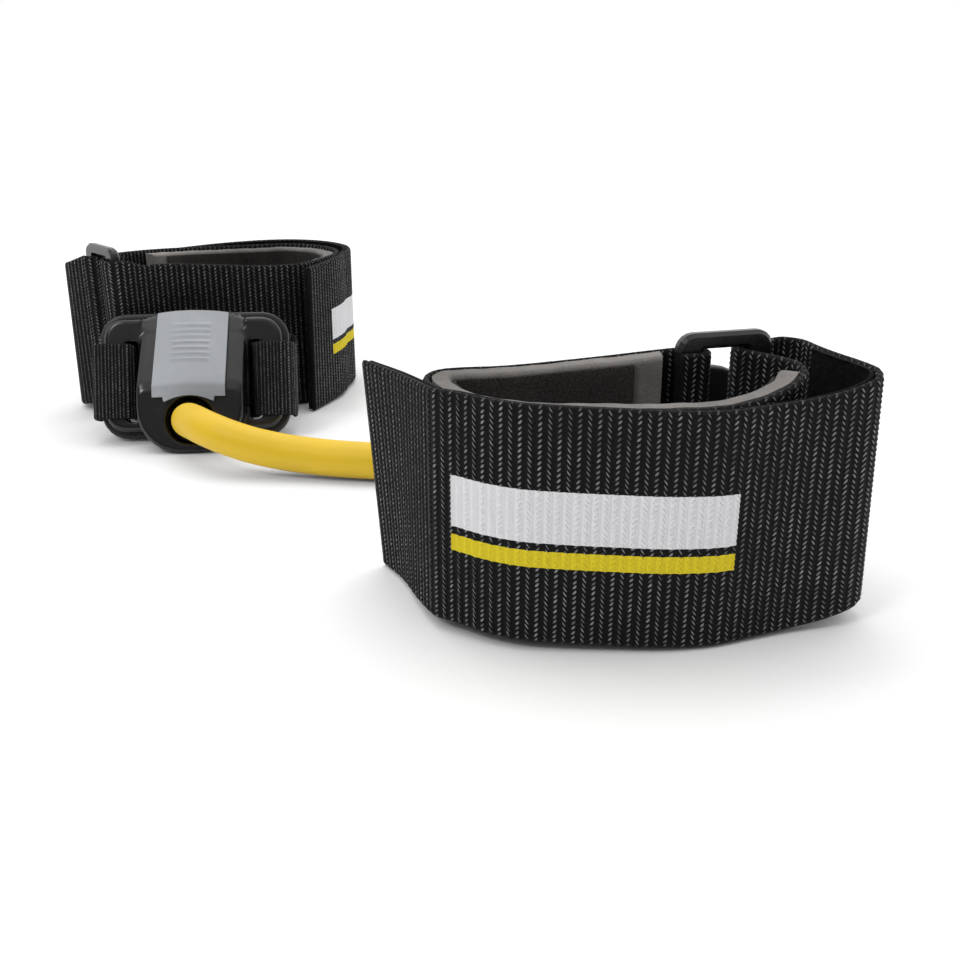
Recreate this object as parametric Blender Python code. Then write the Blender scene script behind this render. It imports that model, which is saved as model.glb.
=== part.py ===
"""Lateral resistance trainer: two hook-and-loop ankle cuffs joined by a stretch tube.

Millimetres in the tables below, metres in the meshes, +Z up. The origin is on the floor under
the middle of the two cuffs. Straps, pads and bands are drawn in plan and stand on the floor.
"""
import math

import bmesh
import bpy
from mathutils import Matrix, Vector

MM = 0.001
GAP = 0.3

# Webbing, padding and fastening layers
WEB_WIDTH = 50.0
WEB_THICK = 1.8
FOAM_THICK = 4.2
FOAM_LOW = 0.6
FOAM_HEIGHT = 48.2
FOAM_EDGE = 1.3
LINING_THICK = 0.6
LINING_LOW = 2.6
LINING_HEIGHT = 44.0
HOOK_THICK = 0.6
LOOP_THICK = 0.8
PILE_LOW = 1.5
PILE_HEIGHT = 47.0
PILE_ROOM = 0.2
PEEL_ROOM = 0.2
RING_LIFT = 4.8
FOLD_ROOM = 0.5

# Rectangular slip ring
RING_FOOT = 1.0
RING_HEIGHT = 57.6
RING_END_BAR = 3.5
RING_SIDE_BAR = 6.0
RING_THICK = 3.0
RING_PITCH = 16.6
RING_CORNER = 3.8
RING_WINDOW_CORNER = 0.4
RING_BEVEL = 0.8
RING_SWING_ROOM = 1.2

# Tube connector: front face at depth 0, foot at height 0
LEAN = math.radians(22.0)
PLATE_WIDTH = 60.4
PLATE_TOP = 46.8
PLATE_FRONT = 12.5
PLATE_BACK = 15.3
PLATE_CORNER = 8.5
FOOT_RISE = math.tan(LEAN)
BODY_WIDTH = 33.0
BODY_FRONT_TOP = 21.2
PILLOW_INSET = 2.0
PILLOW_FRONT = 9.2
PILLOW_BEVEL = 1.3
SLOT_MIDDLE = 19.5
SLOT_WIDTH = 4.0
SLOT_LOW = 11.5
SLOT_HIGH = 37.3
BAND_WIDTH = 24.0
BAND_LOW = 12.4
BAND_HIGH = BAND_LOW + BAND_WIDTH
BORE_HEIGHT = 10.7
BORE_STEPS = ((-2.0, 7.5), (2.5, 7.5), (2.5, 7.0), (7.2, 7.0), (7.2, 5.8), (10.4, 5.8))
CAP_WIDTH = 22.4
CAP_EDGE = 1.0
CAP_CROWN = 1.4
CAP_TAB_LOW = 18.0
CAP_ARCH_TOP = 18.4
CAP_ARCH_DROP = 2.1
CAP_ARCH_HALF = 7.9
COLLAR_OUTER = 6.7
COLLAR_INNER = 5.9
COLLAR_DEPTHS = (3.2, 6.9)
PLUG_DEPTHS = (7.8, 10.1)
PIVOT_DEPTH = 0.5 * (PLATE_FRONT + PLATE_BACK)
PIVOT_HEIGHT = 0.5 * (BAND_LOW + BAND_HIGH)

# Middle of the band round a wing and through its slot: distance from the middle, depth
BAND_WRAP = (
    (31.2, 16.6), (31.5, 14.0), (31.3, 10.8), (30.2, 8.7), (28.1, 8.0), (23.2, 8.0), (20.9, 8.4),
    (19.6, 10.2), (19.5, 12.5), (19.4, 14.6), (18.3, 16.2), (15.8, 16.6),
)
BAND_BEHIND = 16.6

# Stretch tube
TUBE_DIAMETER = 10.8
TUBE_INSERT = 7.5
TUBE_STRIDE = 8.0
CURVE_PIECES = 24

# Middle of the webbing in plan, with the lift of its lower edge: x, y, lift
RIGHT = {
    "ring": (75.7, -84.6, 15.3),
    "fold": "flat",
    "base": (
        (69.0, -82.4, 4.4), (60.5, -82.9, 3.5), (50.5, -82.2, 2.2), (40.5, -81.5, 1.0),
        (33.0, -80.9, 0.3), (27.0, -80.5, 0.0), (21.9, -82.6, 0.0), (19.6, -87.4, 0.0),
        (21.0, -94.4, 0.0), (24.8, -101.8, 0.0), (30.9, -107.3, 0.0), (39.3, -111.2, 0.0),
        (48.0, -112.2, 0.0), (58.0, -112.5, 0.0), (68.0, -112.5, 0.0), (76.9, -111.1, 0.0),
        (83.8, -108.6, 0.4), (90.0, -105.8, 1.6), (94.6, -102.6, 3.2), (96.8, -98.6, 4.3),
        (96.4, -94.4, 4.8), (94.1, -90.4, 4.8),
    ),
    "arrival": -150.0,
    "tail": (
        (95.0, -73.9, 4.8), (99.2, -71.9, 4.9), (102.8, -74.2, 4.9), (104.3, -79.5, 4.9),
        (106.4, -86.8, 4.9), (109.1, -93.4, 4.8), (110.8, -99.6, 4.6), (109.4, -103.6, 3.9),
        (105.4, -105.9, 2.7), (99.8, -107.6, 1.5), (93.6, -109.6, 0.9),
    ),
    "tail_lift": (0.3, 2.6),
    "layer_from": (83.8, -108.6),
    "peel": (29.0, -106.6),
    "end": ((22.2, -106.6, 2.5), (18.4, -99.0, 1.9), (13.2, -86.4, 0.8), (6.4, -74.4, 0.0)),
    "pad": ((69.0, -82.5), (96.6, -99.5)),
    "hook": ((80.0, -110.2), (32.0, -108.4)),
    "loop_from": (104.3, -79.5),
    "foot": (64.0, -50.5, -0.3, 180.0),
    "lean": 0.0,
    "sewn": ((68.0, -82.5), (50.0, -82.2)),
    "band_sides": (((79.5, -73.4), (90.6, -68.6)), ((44.0, -73.8), (36.2, -68.2))),
    "band_low": 11.9,
}
LEFT = {
    "ring": (-88.3, 40.5, 130.9),
    "fold": "square",
    "base": (
        (-80.8, 42.0, 3.0), (-74.0, 48.2, 2.4), (-64.3, 53.9, 1.3), (-54.2, 57.3, 0.5),
        (-44.2, 58.9, 0.0), (-37.4, 60.4, 0.0), (-31.6, 63.9, 0.0), (-28.4, 70.1, 0.0),
        (-25.3, 78.2, 0.0), (-23.1, 85.1, 0.0), (-22.4, 92.0, 0.0), (-24.6, 100.5, 0.0),
        (-33.2, 109.7, 0.0), (-44.2, 113.1, 0.0), (-57.2, 109.6, 0.0), (-71.6, 102.3, 0.4),
        (-80.8, 93.3, 1.2), (-87.7, 82.3, 2.2), (-93.0, 71.5, 3.0), (-95.6, 64.2, 3.5),
    ),
    "arrival": -112.0,
    "tail": (
        (-108.6, 55.2, 1.8), (-110.8, 62.0, 0.9), (-108.3, 71.2, 0.2), (-101.5, 82.4, 0.0),
        (-91.3, 94.0, 0.0), (-81.2, 102.2, 0.2), (-69.2, 109.2, 0.7),
    ),
    "tail_lift": (1.0, 1.0),
    "layer_from": (-57.2, 109.6),
    "peel": (-22.9, 86.0),
    "end": ((-19.4, 77.4, 1.0), (-20.4, 71.4, 0.9), (-23.0, 63.8, 0.6), (-27.4, 52.5, 0.2)),
    "pad": ((-80.0, 43.0), (-89.0, 80.0)),
    "hook": ((-68.0, 104.5), (-24.2, 90.0)),
    "loop_from": (-110.8, 61.8),
    "foot": (-59.4, 5.6, 0.0, 5.0),
    "lean": LEAN,
    "sewn": ((-70.5, 50.5), (-54.2, 57.3)),
    "band_sides": (((-79.8, 33.9), (-88.3, 30.0)), ((-41.0, 46.2), (-30.6, 35.6))),
    "band_low": 6.3,
}
CUFFS = (("left", LEFT), ("right", RIGHT))

# Middle of the tube between its two ends: x, y, z
TUBE_ROUTE = (
    (-58.6, 5.2, 11.2), (-55.9, 0.1, 12.2), (-52.1, -4.4, 12.2), (-47.3, -8.0, 11.5),
    (-41.8, -10.3, 10.2), (-35.8, -11.5, 8.7), (-26.0, -12.6, 6.9), (-14.5, -14.2, 5.9),
    (-2.0, -16.0, 5.6), (11.0, -17.3, 5.6), (23.0, -18.1, 5.6), (34.0, -19.4, 5.8),
    (45.2, -22.0, 6.6), (54.8, -27.0, 8.0), (61.4, -34.8, 9.5), (63.9, -43.6, 10.3),
)

COLOURS = {
    "webbing": ((0.012, 0.012, 0.013), 0.85, 0.0),
    "foam": ((0.10, 0.095, 0.09), 0.95, 0.0),
    "lining": ((0.016, 0.016, 0.017), 0.9, 0.0),
    "pile": ((0.009, 0.009, 0.010), 1.0, 0.0),
    "moulded": ((0.018, 0.018, 0.019), 0.38, 0.0),
    "gloss": ((0.014, 0.014, 0.015), 0.16, 0.0),
    "grey_cap": ((0.36, 0.38, 0.40), 0.42, 0.0),
    "tube": ((0.90, 0.62, 0.07), 0.34, 0.0),
    "plug": ((0.05, 0.05, 0.05), 0.5, 0.0),
}


def clear_scene():
    for item in list(bpy.data.objects):
        bpy.data.objects.remove(item, do_unlink=True)


def material_for(node, finish):
    """A material of the node's own, in one of the finishes."""
    colour, roughness, metallic = COLOURS[finish]
    material = bpy.data.materials.new(node + "_" + finish)
    material.use_nodes = True
    shader = material.node_tree.nodes["Principled BSDF"]
    shader.inputs["Base Color"].default_value = (*colour, 1.0)
    shader.inputs["Roughness"].default_value = roughness
    shader.inputs["Metallic"].default_value = metallic
    return material


def catmull(points, pieces=CURVE_PIECES):
    """Dense points of a centripetal Catmull-Rom curve through the given points."""
    given = [Vector(point) for point in points]
    given.insert(0, given[0] * 2.0 - given[1])
    given.append(given[-1] * 2.0 - given[-2])
    dense = []
    for before, start, end, after in zip(given, given[1:], given[2:], given[3:]):
        lead = math.sqrt((start - before).length)
        span = math.sqrt((end - start).length)
        trail = math.sqrt((after - end).length)
        leave = span * ((start - before) / lead - (end - before) / (lead + span) + (end - start) / span)
        arrive = span * ((end - start) / span - (after - start) / (span + trail) + (after - end) / trail)
        for piece in range(pieces):
            at = piece / pieces
            rest = 1.0 - at
            point = start * (rest * rest * (1.0 + 2.0 * at)) + end * (at * at * (3.0 - 2.0 * at))
            point += leave * (at * rest * rest) - arrive * (at * at * rest)
            dense.append(point)
    dense.append(given[-2])
    return dense


def stations(points, turn=math.radians(13.0), stride=6.0):
    """Stations on a smooth plan route: point, left normal and lift, closer together in bends."""
    dense = catmull(points)
    kept = []
    heading = None
    travelled = 0.0
    for index, point in enumerate(dense):
        before = dense[max(index - 1, 0)]
        after = dense[min(index + 1, len(dense) - 1)]
        way = Vector((after.x - before.x, after.y - before.y)).normalized()
        travelled += (point - before).to_2d().length
        last = index == len(dense) - 1
        if last and travelled < 0.6 and len(kept) > 1:
            kept.pop()
        if kept and not last and travelled < stride and abs(heading.angle_signed(way)) < turn:
            continue
        kept.append((Vector((point.x, point.y)), Vector((-way.y, way.x)), max(point.z, 0.0)))
        heading = way
        travelled = 0.0
    return kept


def nearest(route, place):
    """Index of the station closest to a place in plan."""
    gaps = [(spot - Vector(place)).length for spot, normal, lift in route]
    return gaps.index(min(gaps))


def between(route, places):
    """The stations from one place in plan to another, in the route's order."""
    first = nearest(route, places[0])
    last = nearest(route, places[1])
    low, high = sorted((first, last))
    return route[low:high + 1]


def smooth(mesh):
    mesh.shade_smooth()
    mesh.set_sharp_from_angle(angle=math.radians(35.0))


def add_object(name, mesh, finish):
    item = bpy.data.objects.new(name, mesh)
    bpy.context.scene.collection.objects.link(item)
    item.data.materials.append(material_for(name, finish))
    return item


def loft_mesh(name, loops, closed=False):
    """A closed mesh through loops of points with equal counts, in metres."""
    builder = bmesh.new()
    rows = [[builder.verts.new(Vector(point) * MM) for point in loop] for loop in loops]
    count = len(rows[0])
    pairs = list(zip(rows, rows[1:]))
    if closed:
        pairs.append((rows[-1], rows[0]))
    for row, ahead in pairs:
        for index in range(count):
            beside = (index + 1) % count
            builder.faces.new((row[index], row[beside], ahead[beside], ahead[index]))
    if not closed:
        builder.faces.new(rows[0][::-1])
        builder.faces.new(rows[-1])
    bmesh.ops.recalc_face_normals(builder, faces=builder.faces)
    mesh = bpy.data.meshes.new(name)
    builder.to_mesh(mesh)
    builder.free()
    return mesh


def loft(name, loops, finish, closed=False):
    mesh = loft_mesh(name, loops, closed)
    smooth(mesh)
    return add_object(name, mesh, finish)


def hang(item, axis):
    """Parent a piece drawn in world coordinates to the empty on its joint's axis."""
    item.data.transform(axis.matrix_basis.inverted())
    item.parent = axis


def axis_empty(name, matrix):
    axis = bpy.data.objects.new(name, None)
    axis.empty_display_size = 0.01
    axis.matrix_basis = matrix
    bpy.context.scene.collection.objects.link(axis)
    return axis


def layer(name, route, finish, near, far, low, high, edge=0.0):
    """An upright layer beside a route, between two offsets and two heights above the lift."""
    loops = []
    for spot, normal, lift in route:
        close = spot + normal * near
        away = spot + normal * far
        eased = spot + normal * (far - math.copysign(edge, far - near))
        bottom = lift + low
        top = lift + high
        loop = [(close, bottom), (away, bottom), (away, top), (close, top)]
        if edge:
            loop[1:3] = [(eased, bottom), (away, bottom + edge), (away, top - edge), (eased, top)]
        loops.append([(place.x, place.y, height) for place, height in loop])
    return loft(name, loops, finish)


def strap(name, route, finish="webbing"):
    return layer(name, route, finish, -0.5 * WEB_THICK, 0.5 * WEB_THICK, 0.0, WEB_WIDTH)


def ring_frame(cuff):
    """Fixed bar in plan, the direction to the free bar, and the outward normal."""
    x, y, yaw = cuff["ring"]
    along = Vector((math.cos(math.radians(yaw)), math.sin(math.radians(yaw))))
    return Vector((x, y)), along, Vector((-along.y, along.x))


def in_ring(cuff, places):
    """Plan points with lift from places given along and out from the ring's fixed bar."""
    bar, along, out = ring_frame(cuff)
    spots = [bar + along * right + out * forward for right, forward in places]
    return [(spot.x, spot.y, RING_LIFT) for spot in spots]


def fixed_fold(cuff):
    """The sewn strap end: its short inner leaf, then the fold round the ring's fixed bar."""
    room = FOLD_ROOM + 0.5 * WEB_THICK
    side = 0.5 * RING_THICK + room
    flank = 0.5 * RING_SIDE_BAR + room
    turn = side - 0.6
    if cuff["fold"] == "flat":
        places = [(-2.9, -side), (-0.8, -side), (1.4, -side)]
        for degrees in (-60, -20, 20, 60):
            angle = math.radians(degrees)
            places.append((1.4 + side * math.cos(angle), side * math.sin(angle)))
        return in_ring(cuff, places + [(1.4, side), (-2.4, side)])
    places = [(flank, -6.0), (flank, -2.6), (flank, 0.6)]
    corner = (flank - turn, side - turn)
    diagonal = turn * math.sqrt(0.5)
    places.append((corner[0] + diagonal, corner[1] + diagonal))
    places += [(corner[0], side), (-corner[0], side)]
    places.append((-corner[0] - diagonal, corner[1] + diagonal))
    return in_ring(cuff, places + [(-flank, 0.6), (-flank, -2.6)])


def free_fold(cuff):
    """The running fold round the ring's free bar, wide enough for the ring to swing."""
    radius = 0.5 * RING_THICK + RING_SWING_ROOM + 0.5 * WEB_THICK
    places = []
    for step in range(7):
        degrees = cuff["arrival"] + (-270.0 - cuff["arrival"]) * step / 6.0
        angle = math.radians(degrees)
        places.append((RING_PITCH - 1.5 + radius * math.cos(angle), radius * math.sin(angle)))
    return in_ring(cuff, places)


def cuff_routes(cuff):
    """Stations of the base strap, of the tail up to its peel line and of the loose end."""
    base = stations(fixed_fold(cuff) + list(cuff["base"]) + free_fold(cuff))
    over = WEB_THICK + GAP + HOOK_THICK + GAP + PILE_ROOM + LOOP_THICK + GAP
    first, last = cuff["tail_lift"]
    under = between(base, (cuff["layer_from"], cuff["peel"]))[::-1]
    layered = []
    for index, (spot, normal, lift) in enumerate(under):
        rise = first + (last - first) * index / (len(under) - 1)
        layered.append((spot - normal * over, -normal, lift + rise))
    joint, normal, lift = layered[-1]
    onward = [(spot.x, spot.y, rise) for spot, side, rise in layered]
    last = free_fold(cuff)[-1]
    before = free_fold(cuff)[-2]
    lead = Vector(last) - Vector(before)
    start = Vector(last) + lead.normalized() * GAP
    hand = stations([tuple(start)] + list(cuff["tail"]) + onward[:2])
    hand = hand[:nearest(hand, onward[0][:2])]
    tail = hand + layered
    loose = stations(onward[-2:] + list(cuff["end"]))
    loose = loose[nearest(loose, joint):]
    along = Vector((normal.y, -normal.x))
    tail[-1] = (joint - along * PEEL_ROOM, normal, lift)
    loose[0] = (joint + along * PEEL_ROOM, normal, lift)
    return base, tail, loose, joint + normal * 0.5 * WEB_THICK


def make_cuff(side, cuff):
    """Straps, padding and fastening layers of one cuff."""
    base, tail, loose, hinge = cuff_routes(cuff)
    inner = 0.5 * WEB_THICK + GAP
    foam = inner + FOAM_THICK
    strap(side + "_base_strap", base)
    strap(side + "_tail_strap", tail)
    pad = between(base, cuff["pad"])
    layer(side + "_foam_pad", pad, "foam", inner, foam, FOAM_LOW, FOAM_LOW + FOAM_HEIGHT, FOAM_EDGE)
    lining = (foam + GAP, foam + GAP + LINING_THICK, LINING_LOW, LINING_LOW + LINING_HEIGHT)
    layer(side + "_pad_lining", pad[1:-1], "lining", *lining)
    hook = between(base, cuff["hook"])
    band = (PILE_LOW, PILE_LOW + PILE_HEIGHT)
    layer(side + "_hook_patch", hook, "pile", -inner, -inner - HOOK_THICK, *band)
    pile = tail[nearest(tail, cuff["loop_from"]):]
    spread = (-inner, -inner - LOOP_THICK, *band)
    layer(side + "_loop_patch", pile, "pile", *spread)
    axis = axis_empty(side + "_peel_axis", Matrix.Translation(Vector((*hinge, 0.0)) * MM))
    hang(strap(side + "_tail_end", loose), axis)
    hang(layer(side + "_tail_loop_patch", loose, "pile", *spread), axis)


def rounded_outline(width, height, radius, steps, middle=(0.0, 0.0)):
    """Outline of a rounded rectangle, anticlockwise from its lower right corner."""
    points = []
    for quarter, (right, up) in enumerate(((1, -1), (1, 1), (-1, 1), (-1, -1))):
        for step in range(steps + 1):
            angle = math.radians(-90.0 + 90.0 * (quarter + step / steps))
            across = right * (0.5 * width - radius) + radius * math.cos(angle)
            along = up * (0.5 * height - radius) + radius * math.sin(angle)
            points.append((middle[0] + across, middle[1] + along))
    return points


def make_ring(side, cuff):
    """Slip ring with softened edges, standing on the floor, turning on its fixed bar."""
    bar, along, out = ring_frame(cuff)
    middle = (0.5 * RING_PITCH, RING_FOOT + 0.5 * RING_HEIGHT)
    outer = (RING_PITCH + RING_SIDE_BAR, RING_HEIGHT)
    window = (RING_PITCH - RING_SIDE_BAR, RING_HEIGHT - 2.0 * RING_END_BAR)
    half = 0.5 * RING_THICK
    soft = half - RING_BEVEL
    sections = (
        (outer, RING_CORNER, 0.0, -soft), (outer, RING_CORNER, 0.0, soft),
        (outer, RING_CORNER, -RING_BEVEL, half), (window, RING_WINDOW_CORNER, RING_BEVEL, half),
        (window, RING_WINDOW_CORNER, 0.0, soft), (window, RING_WINDOW_CORNER, 0.0, -soft),
        (window, RING_WINDOW_CORNER, RING_BEVEL, -half), (outer, RING_CORNER, -RING_BEVEL, -half),
    )
    loops = []
    for (width, height), radius, grow, depth in sections:
        outline = rounded_outline(width + 2.0 * grow, height + 2.0 * grow, radius + grow, 5, middle)
        loops.append([(x, depth, z) for x, z in outline])
    item = loft(side + "_ring", loops, "moulded", closed=True)
    turn = Matrix.Rotation(math.atan2(along.y, along.x), 4, "Z")
    axis = axis_empty(side + "_ring_axis", Matrix.Translation(Vector((*bar, 0.0)) * MM) @ turn)
    item.parent = axis


def boolean_tool(name, loops):
    """A hidden solid used by a Boolean."""
    mesh = loft_mesh(name, loops)
    item = bpy.data.objects.new(name, mesh)
    item.hide_render = True
    item.display_type = "WIRE"
    bpy.context.scene.collection.objects.link(item)
    return item


def combine(item, tool, operation):
    change = item.modifiers.new(tool.name, "BOOLEAN")
    change.solver = "EXACT"
    change.operation = operation
    change.object = tool


def settled_mesh(item, tools):
    """The finished mesh of a piece after its cuts, with the piece and the tools removed."""
    bpy.context.view_layer.update()
    graph = bpy.context.evaluated_depsgraph_get()
    mesh = bpy.data.meshes.new_from_object(item.evaluated_get(graph))
    builder = bmesh.new()
    builder.from_mesh(mesh)
    bmesh.ops.remove_doubles(builder, verts=builder.verts, dist=0.00002)
    bmesh.ops.triangulate(builder, faces=builder.faces)
    builder.to_mesh(mesh)
    builder.free()
    for used in [item] + tools:
        bpy.data.objects.remove(used, do_unlink=True)
    return mesh


def turned_loops(steps, sides, middle, start=0.0):
    """Loops of a turned shape along the depth, one for each pair of depth and radius."""
    loops = []
    for depth, radius in steps:
        loop = []
        for side in range(sides):
            angle = start + math.tau * side / sides
            loop.append((radius * math.cos(angle), depth, middle + radius * math.sin(angle)))
        loops.append(loop)
    return loops


def slot_tools(front, back):
    """Round-ended solids that cut the two band slots, between two depths."""
    tools = []
    for sign in (-1, 1):
        middle = (sign * SLOT_MIDDLE, 0.5 * (SLOT_LOW + SLOT_HIGH))
        outline = rounded_outline(SLOT_WIDTH, SLOT_HIGH - SLOT_LOW, 1.2, 3, middle)
        loops = [[(x, depth, z) for x, z in outline] for depth in (front, back)]
        tools.append(boolean_tool("slot", loops))
    return tools


def plate_outline(inset):
    low = FOOT_RISE * PLATE_BACK + inset
    high = PLATE_TOP - inset
    middle = (0.0, 0.5 * (low + high))
    return rounded_outline(PLATE_WIDTH - 2.0 * inset, high - low, PLATE_CORNER - inset, 6, middle)


def plate_mesh():
    """Flat back plate with softened edges and the two band slots."""
    steps = ((0.5, PLATE_FRONT), (0.0, PLATE_FRONT + 0.5), (0.0, PLATE_BACK - 0.5), (0.5, PLATE_BACK))
    loops = [[(x, depth, z) for x, z in plate_outline(inset)] for inset, depth in steps]
    item = bpy.data.objects.new("plate", loft_mesh("plate", loops))
    bpy.context.scene.collection.objects.link(item)
    tools = slot_tools(PLATE_FRONT - 1.0, PLATE_BACK + 1.0)
    for tool in tools:
        combine(item, tool, "DIFFERENCE")
    return settled_mesh(item, tools)


def body_section(depth, inset):
    """Outline of the housing's body at one depth: deep round lower corners, a sloping top."""
    back = PLATE_FRONT - GAP
    share = depth / back
    low = FOOT_RISE * depth + inset
    high = BODY_FRONT_TOP + (PLATE_TOP - GAP - BODY_FRONT_TOP) * share - inset
    half = 0.5 * BODY_WIDTH - inset
    lower = 14.0 - 3.0 * share - inset
    upper = 2.4 - 0.5 * inset
    points = []
    corners = ((1, 0, lower, -90), (1, 1, upper, 0), (-1, 1, upper, 90), (-1, 0, lower, 180))
    for right, up, radius, first in corners:
        steps = 3 if up else 7
        level = high - radius if up else low + radius
        for step in range(steps + 1):
            angle = math.radians(first + 90.0 * step / steps)
            points.append((right * (half - radius) + radius * math.cos(angle), depth,
                           level + radius * math.sin(angle)))
    return points


def slope_loops():
    """Prism that keeps the wings off the body's slope, just clear of the slope itself."""
    half = 0.5 * BODY_WIDTH - 0.1
    steep = (PLATE_TOP - GAP - BODY_FRONT_TOP) / (PLATE_FRONT - GAP)
    clear = BODY_FRONT_TOP + 0.1
    top = PLATE_TOP + 4.0
    loops = []
    for across in (-half, half):
        profile = ((-2.0, clear - 2.0 * steep), ((top - clear) / steep, top), (-2.0, top))
        loops.append([(across, depth, height) for depth, height in profile])
    return loops


def housing_mesh():
    """Moulded housing: wedge body on rounded wings, stepped tube bore, two band slots."""
    back = PLATE_FRONT - GAP
    body = [body_section(0.0, 1.0), body_section(0.9, 0.0), body_section(back, 0.0)]
    item = bpy.data.objects.new("housing", loft_mesh("housing", body))
    bpy.context.scene.collection.objects.link(item)
    soft = PILLOW_BEVEL
    steps = (
        (soft, PILLOW_FRONT), (0.3 * soft, PILLOW_FRONT + 0.3 * soft),
        (0.0, PILLOW_FRONT + soft), (0.0, back),
    )
    wings = [[(x, depth, z) for x, z in plate_outline(PILLOW_INSET + inset)] for inset, depth in steps]
    pillow = boolean_tool("pillow", wings)
    combine(item, pillow, "UNION")
    tools = slot_tools(PILLOW_FRONT - 1.0, PLATE_FRONT + 1.0)
    tools.append(boolean_tool("slope", slope_loops()))
    tools.append(boolean_tool("bore", turned_loops(BORE_STEPS, 28, BORE_HEIGHT)))
    for tool in tools:
        combine(item, tool, "DIFFERENCE")
    return settled_mesh(item, [pillow] + tools)


def cap_mesh():
    """Arched cover on the slope, folded over the front edge with an arch above the bore."""
    slope = Vector((PLATE_FRONT - GAP, PLATE_TOP - GAP - BODY_FRONT_TOP))
    along = slope.normalized()
    out = Vector((-along.y, along.x))
    front = Vector((-1.0, 0.0))
    corner = Vector((-GAP, BODY_FRONT_TOP + 0.1))
    upper = Vector((0.0, BODY_FRONT_TOP)) + out * GAP
    rows = (
        (upper + slope * 0.975, out, 1.0),
        (upper + slope * 0.5, out, 1.0),
        (upper + slope * 0.06, out, 1.0),
        (corner, (out + front).normalized(), 0.85),
        (corner - Vector((0.0, 1.1)), front, 0.6),
        (None, front, 0.45),
    )
    half = 0.5 * CAP_WIDTH
    across = [half, 9.6, CAP_ARCH_HALF + 0.1, CAP_ARCH_HALF, 5.4, 2.7, 0.0]
    across += [-place for place in across[-2::-1]]
    loops = []
    for place in across:
        crown = 1.0 - (place / half) ** 2
        low = CAP_TAB_LOW
        if abs(place) <= CAP_ARCH_HALF:
            low = CAP_ARCH_TOP - CAP_ARCH_DROP * (place / CAP_ARCH_HALF) ** 2
        under = []
        over = []
        for spot, way, share in rows:
            base = Vector((-GAP, low)) if spot is None else spot
            rise = base + way * (CAP_EDGE + CAP_CROWN * crown * share)
            under.append((place, base.x, base.y))
            over.append((place, rise.x, rise.y))
        loops.append(under + over[::-1])
    return loft_mesh("cap", loops)


def collar_mesh():
    """Bush that the tube passes through, with a rounded lip towards the mouth."""
    front, back = COLLAR_DEPTHS
    steps = (
        (back, COLLAR_INNER), (front + 0.5, COLLAR_INNER), (front, COLLAR_INNER + 0.4),
        (front, COLLAR_OUTER - 0.3), (front + 0.4, COLLAR_OUTER), (back, COLLAR_OUTER),
    )
    return loft_mesh("collar", turned_loops(steps, 24, BORE_HEIGHT), closed=True)


def plug_mesh():
    """Head of the plug that keeps the tube's end behind the collar."""
    front, back = PLUG_DEPTHS
    radius = 0.5 * TUBE_DIAMETER
    steps = ((front, radius), (back - 0.6, radius), (back, radius - 0.6))
    return loft_mesh("plug", turned_loops(steps, 24, BORE_HEIGHT))


def connector_matrix(cuff):
    """World matrix of the connector's own frame: width, depth towards the wall, height."""
    x, y, z, yaw = cuff["foot"]
    turn = Matrix.Rotation(math.radians(yaw), 4, "Z") @ Matrix.Rotation(-cuff["lean"], 4, "X")
    return Matrix.Translation(Vector((x, y, z)) * MM) @ turn


def make_connector(side, cuff, shapes):
    """The rigid connector pieces of one side, hung from the empty on their tilt axis."""
    pivot = Vector((0.0, PIVOT_DEPTH, PIVOT_HEIGHT)) * MM
    axis = axis_empty(side + "_tilt_axis", connector_matrix(cuff) @ Matrix.Translation(pivot))
    for part, (mesh, finish) in shapes.items():
        item = add_object(side + "_" + part, mesh.copy(), finish)
        item.data.transform(Matrix.Translation(-pivot))
        item.parent = axis


def connector_shapes():
    shapes = {
        "back_plate": (plate_mesh(), "moulded"),
        "housing": (housing_mesh(), "gloss"),
        "cap": (cap_mesh(), "grey_cap"),
        "collar": (collar_mesh(), "moulded"),
        "tube_plug": (plug_mesh(), "plug"),
    }
    for mesh, finish in shapes.values():
        smooth(mesh)
    return shapes


def band_edges(cuff, base):
    """Lower and upper edge points of the band: on the wall, round the wings, through the slots."""
    frame = connector_matrix(cuff)
    inward = frame.to_3x3() @ Vector((0.0, 1.0, 0.0))
    inward = Vector((inward.x, inward.y, 0.0)).normalized()
    sway = 0.5 * BAND_WIDTH * math.sin(cuff["lean"])
    low = cuff["band_low"]
    edges = []

    def on_floor(x, y, share):
        shift = inward * sway * share
        edges.append((Vector((x, y, low)) - shift, Vector((x, y, low + BAND_WIDTH)) + shift))

    def on_plate(across, depth):
        lower = frame @ (Vector((across, depth, BAND_LOW)) * MM) / MM
        upper = frame @ (Vector((across, depth, BAND_HIGH)) * MM) / MM
        edges.append((lower, upper))

    sewn = between(base, cuff["sewn"])
    if (sewn[0][0] - Vector(cuff["sewn"][0])).length < (sewn[-1][0] - Vector(cuff["sewn"][0])).length:
        sewn = sewn[::-1]
    for spot, normal, lift in sewn:
        beside = spot - normal * (WEB_THICK + GAP)
        on_floor(beside.x, beside.y, 0.0)
    near_side, far_side = cuff["band_sides"]
    for (x, y), share in zip(near_side, (0.35, 0.8)):
        on_floor(x, y, share)
    for across, depth in BAND_WRAP:
        on_plate(-across, depth)
    on_plate(0.0, BAND_BEHIND)
    for across, depth in BAND_WRAP[::-1]:
        on_plate(across, depth)
    for (x, y), share in zip(far_side[::-1], (0.8, 0.35)):
        on_floor(x, y, share)
    return edges


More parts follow.
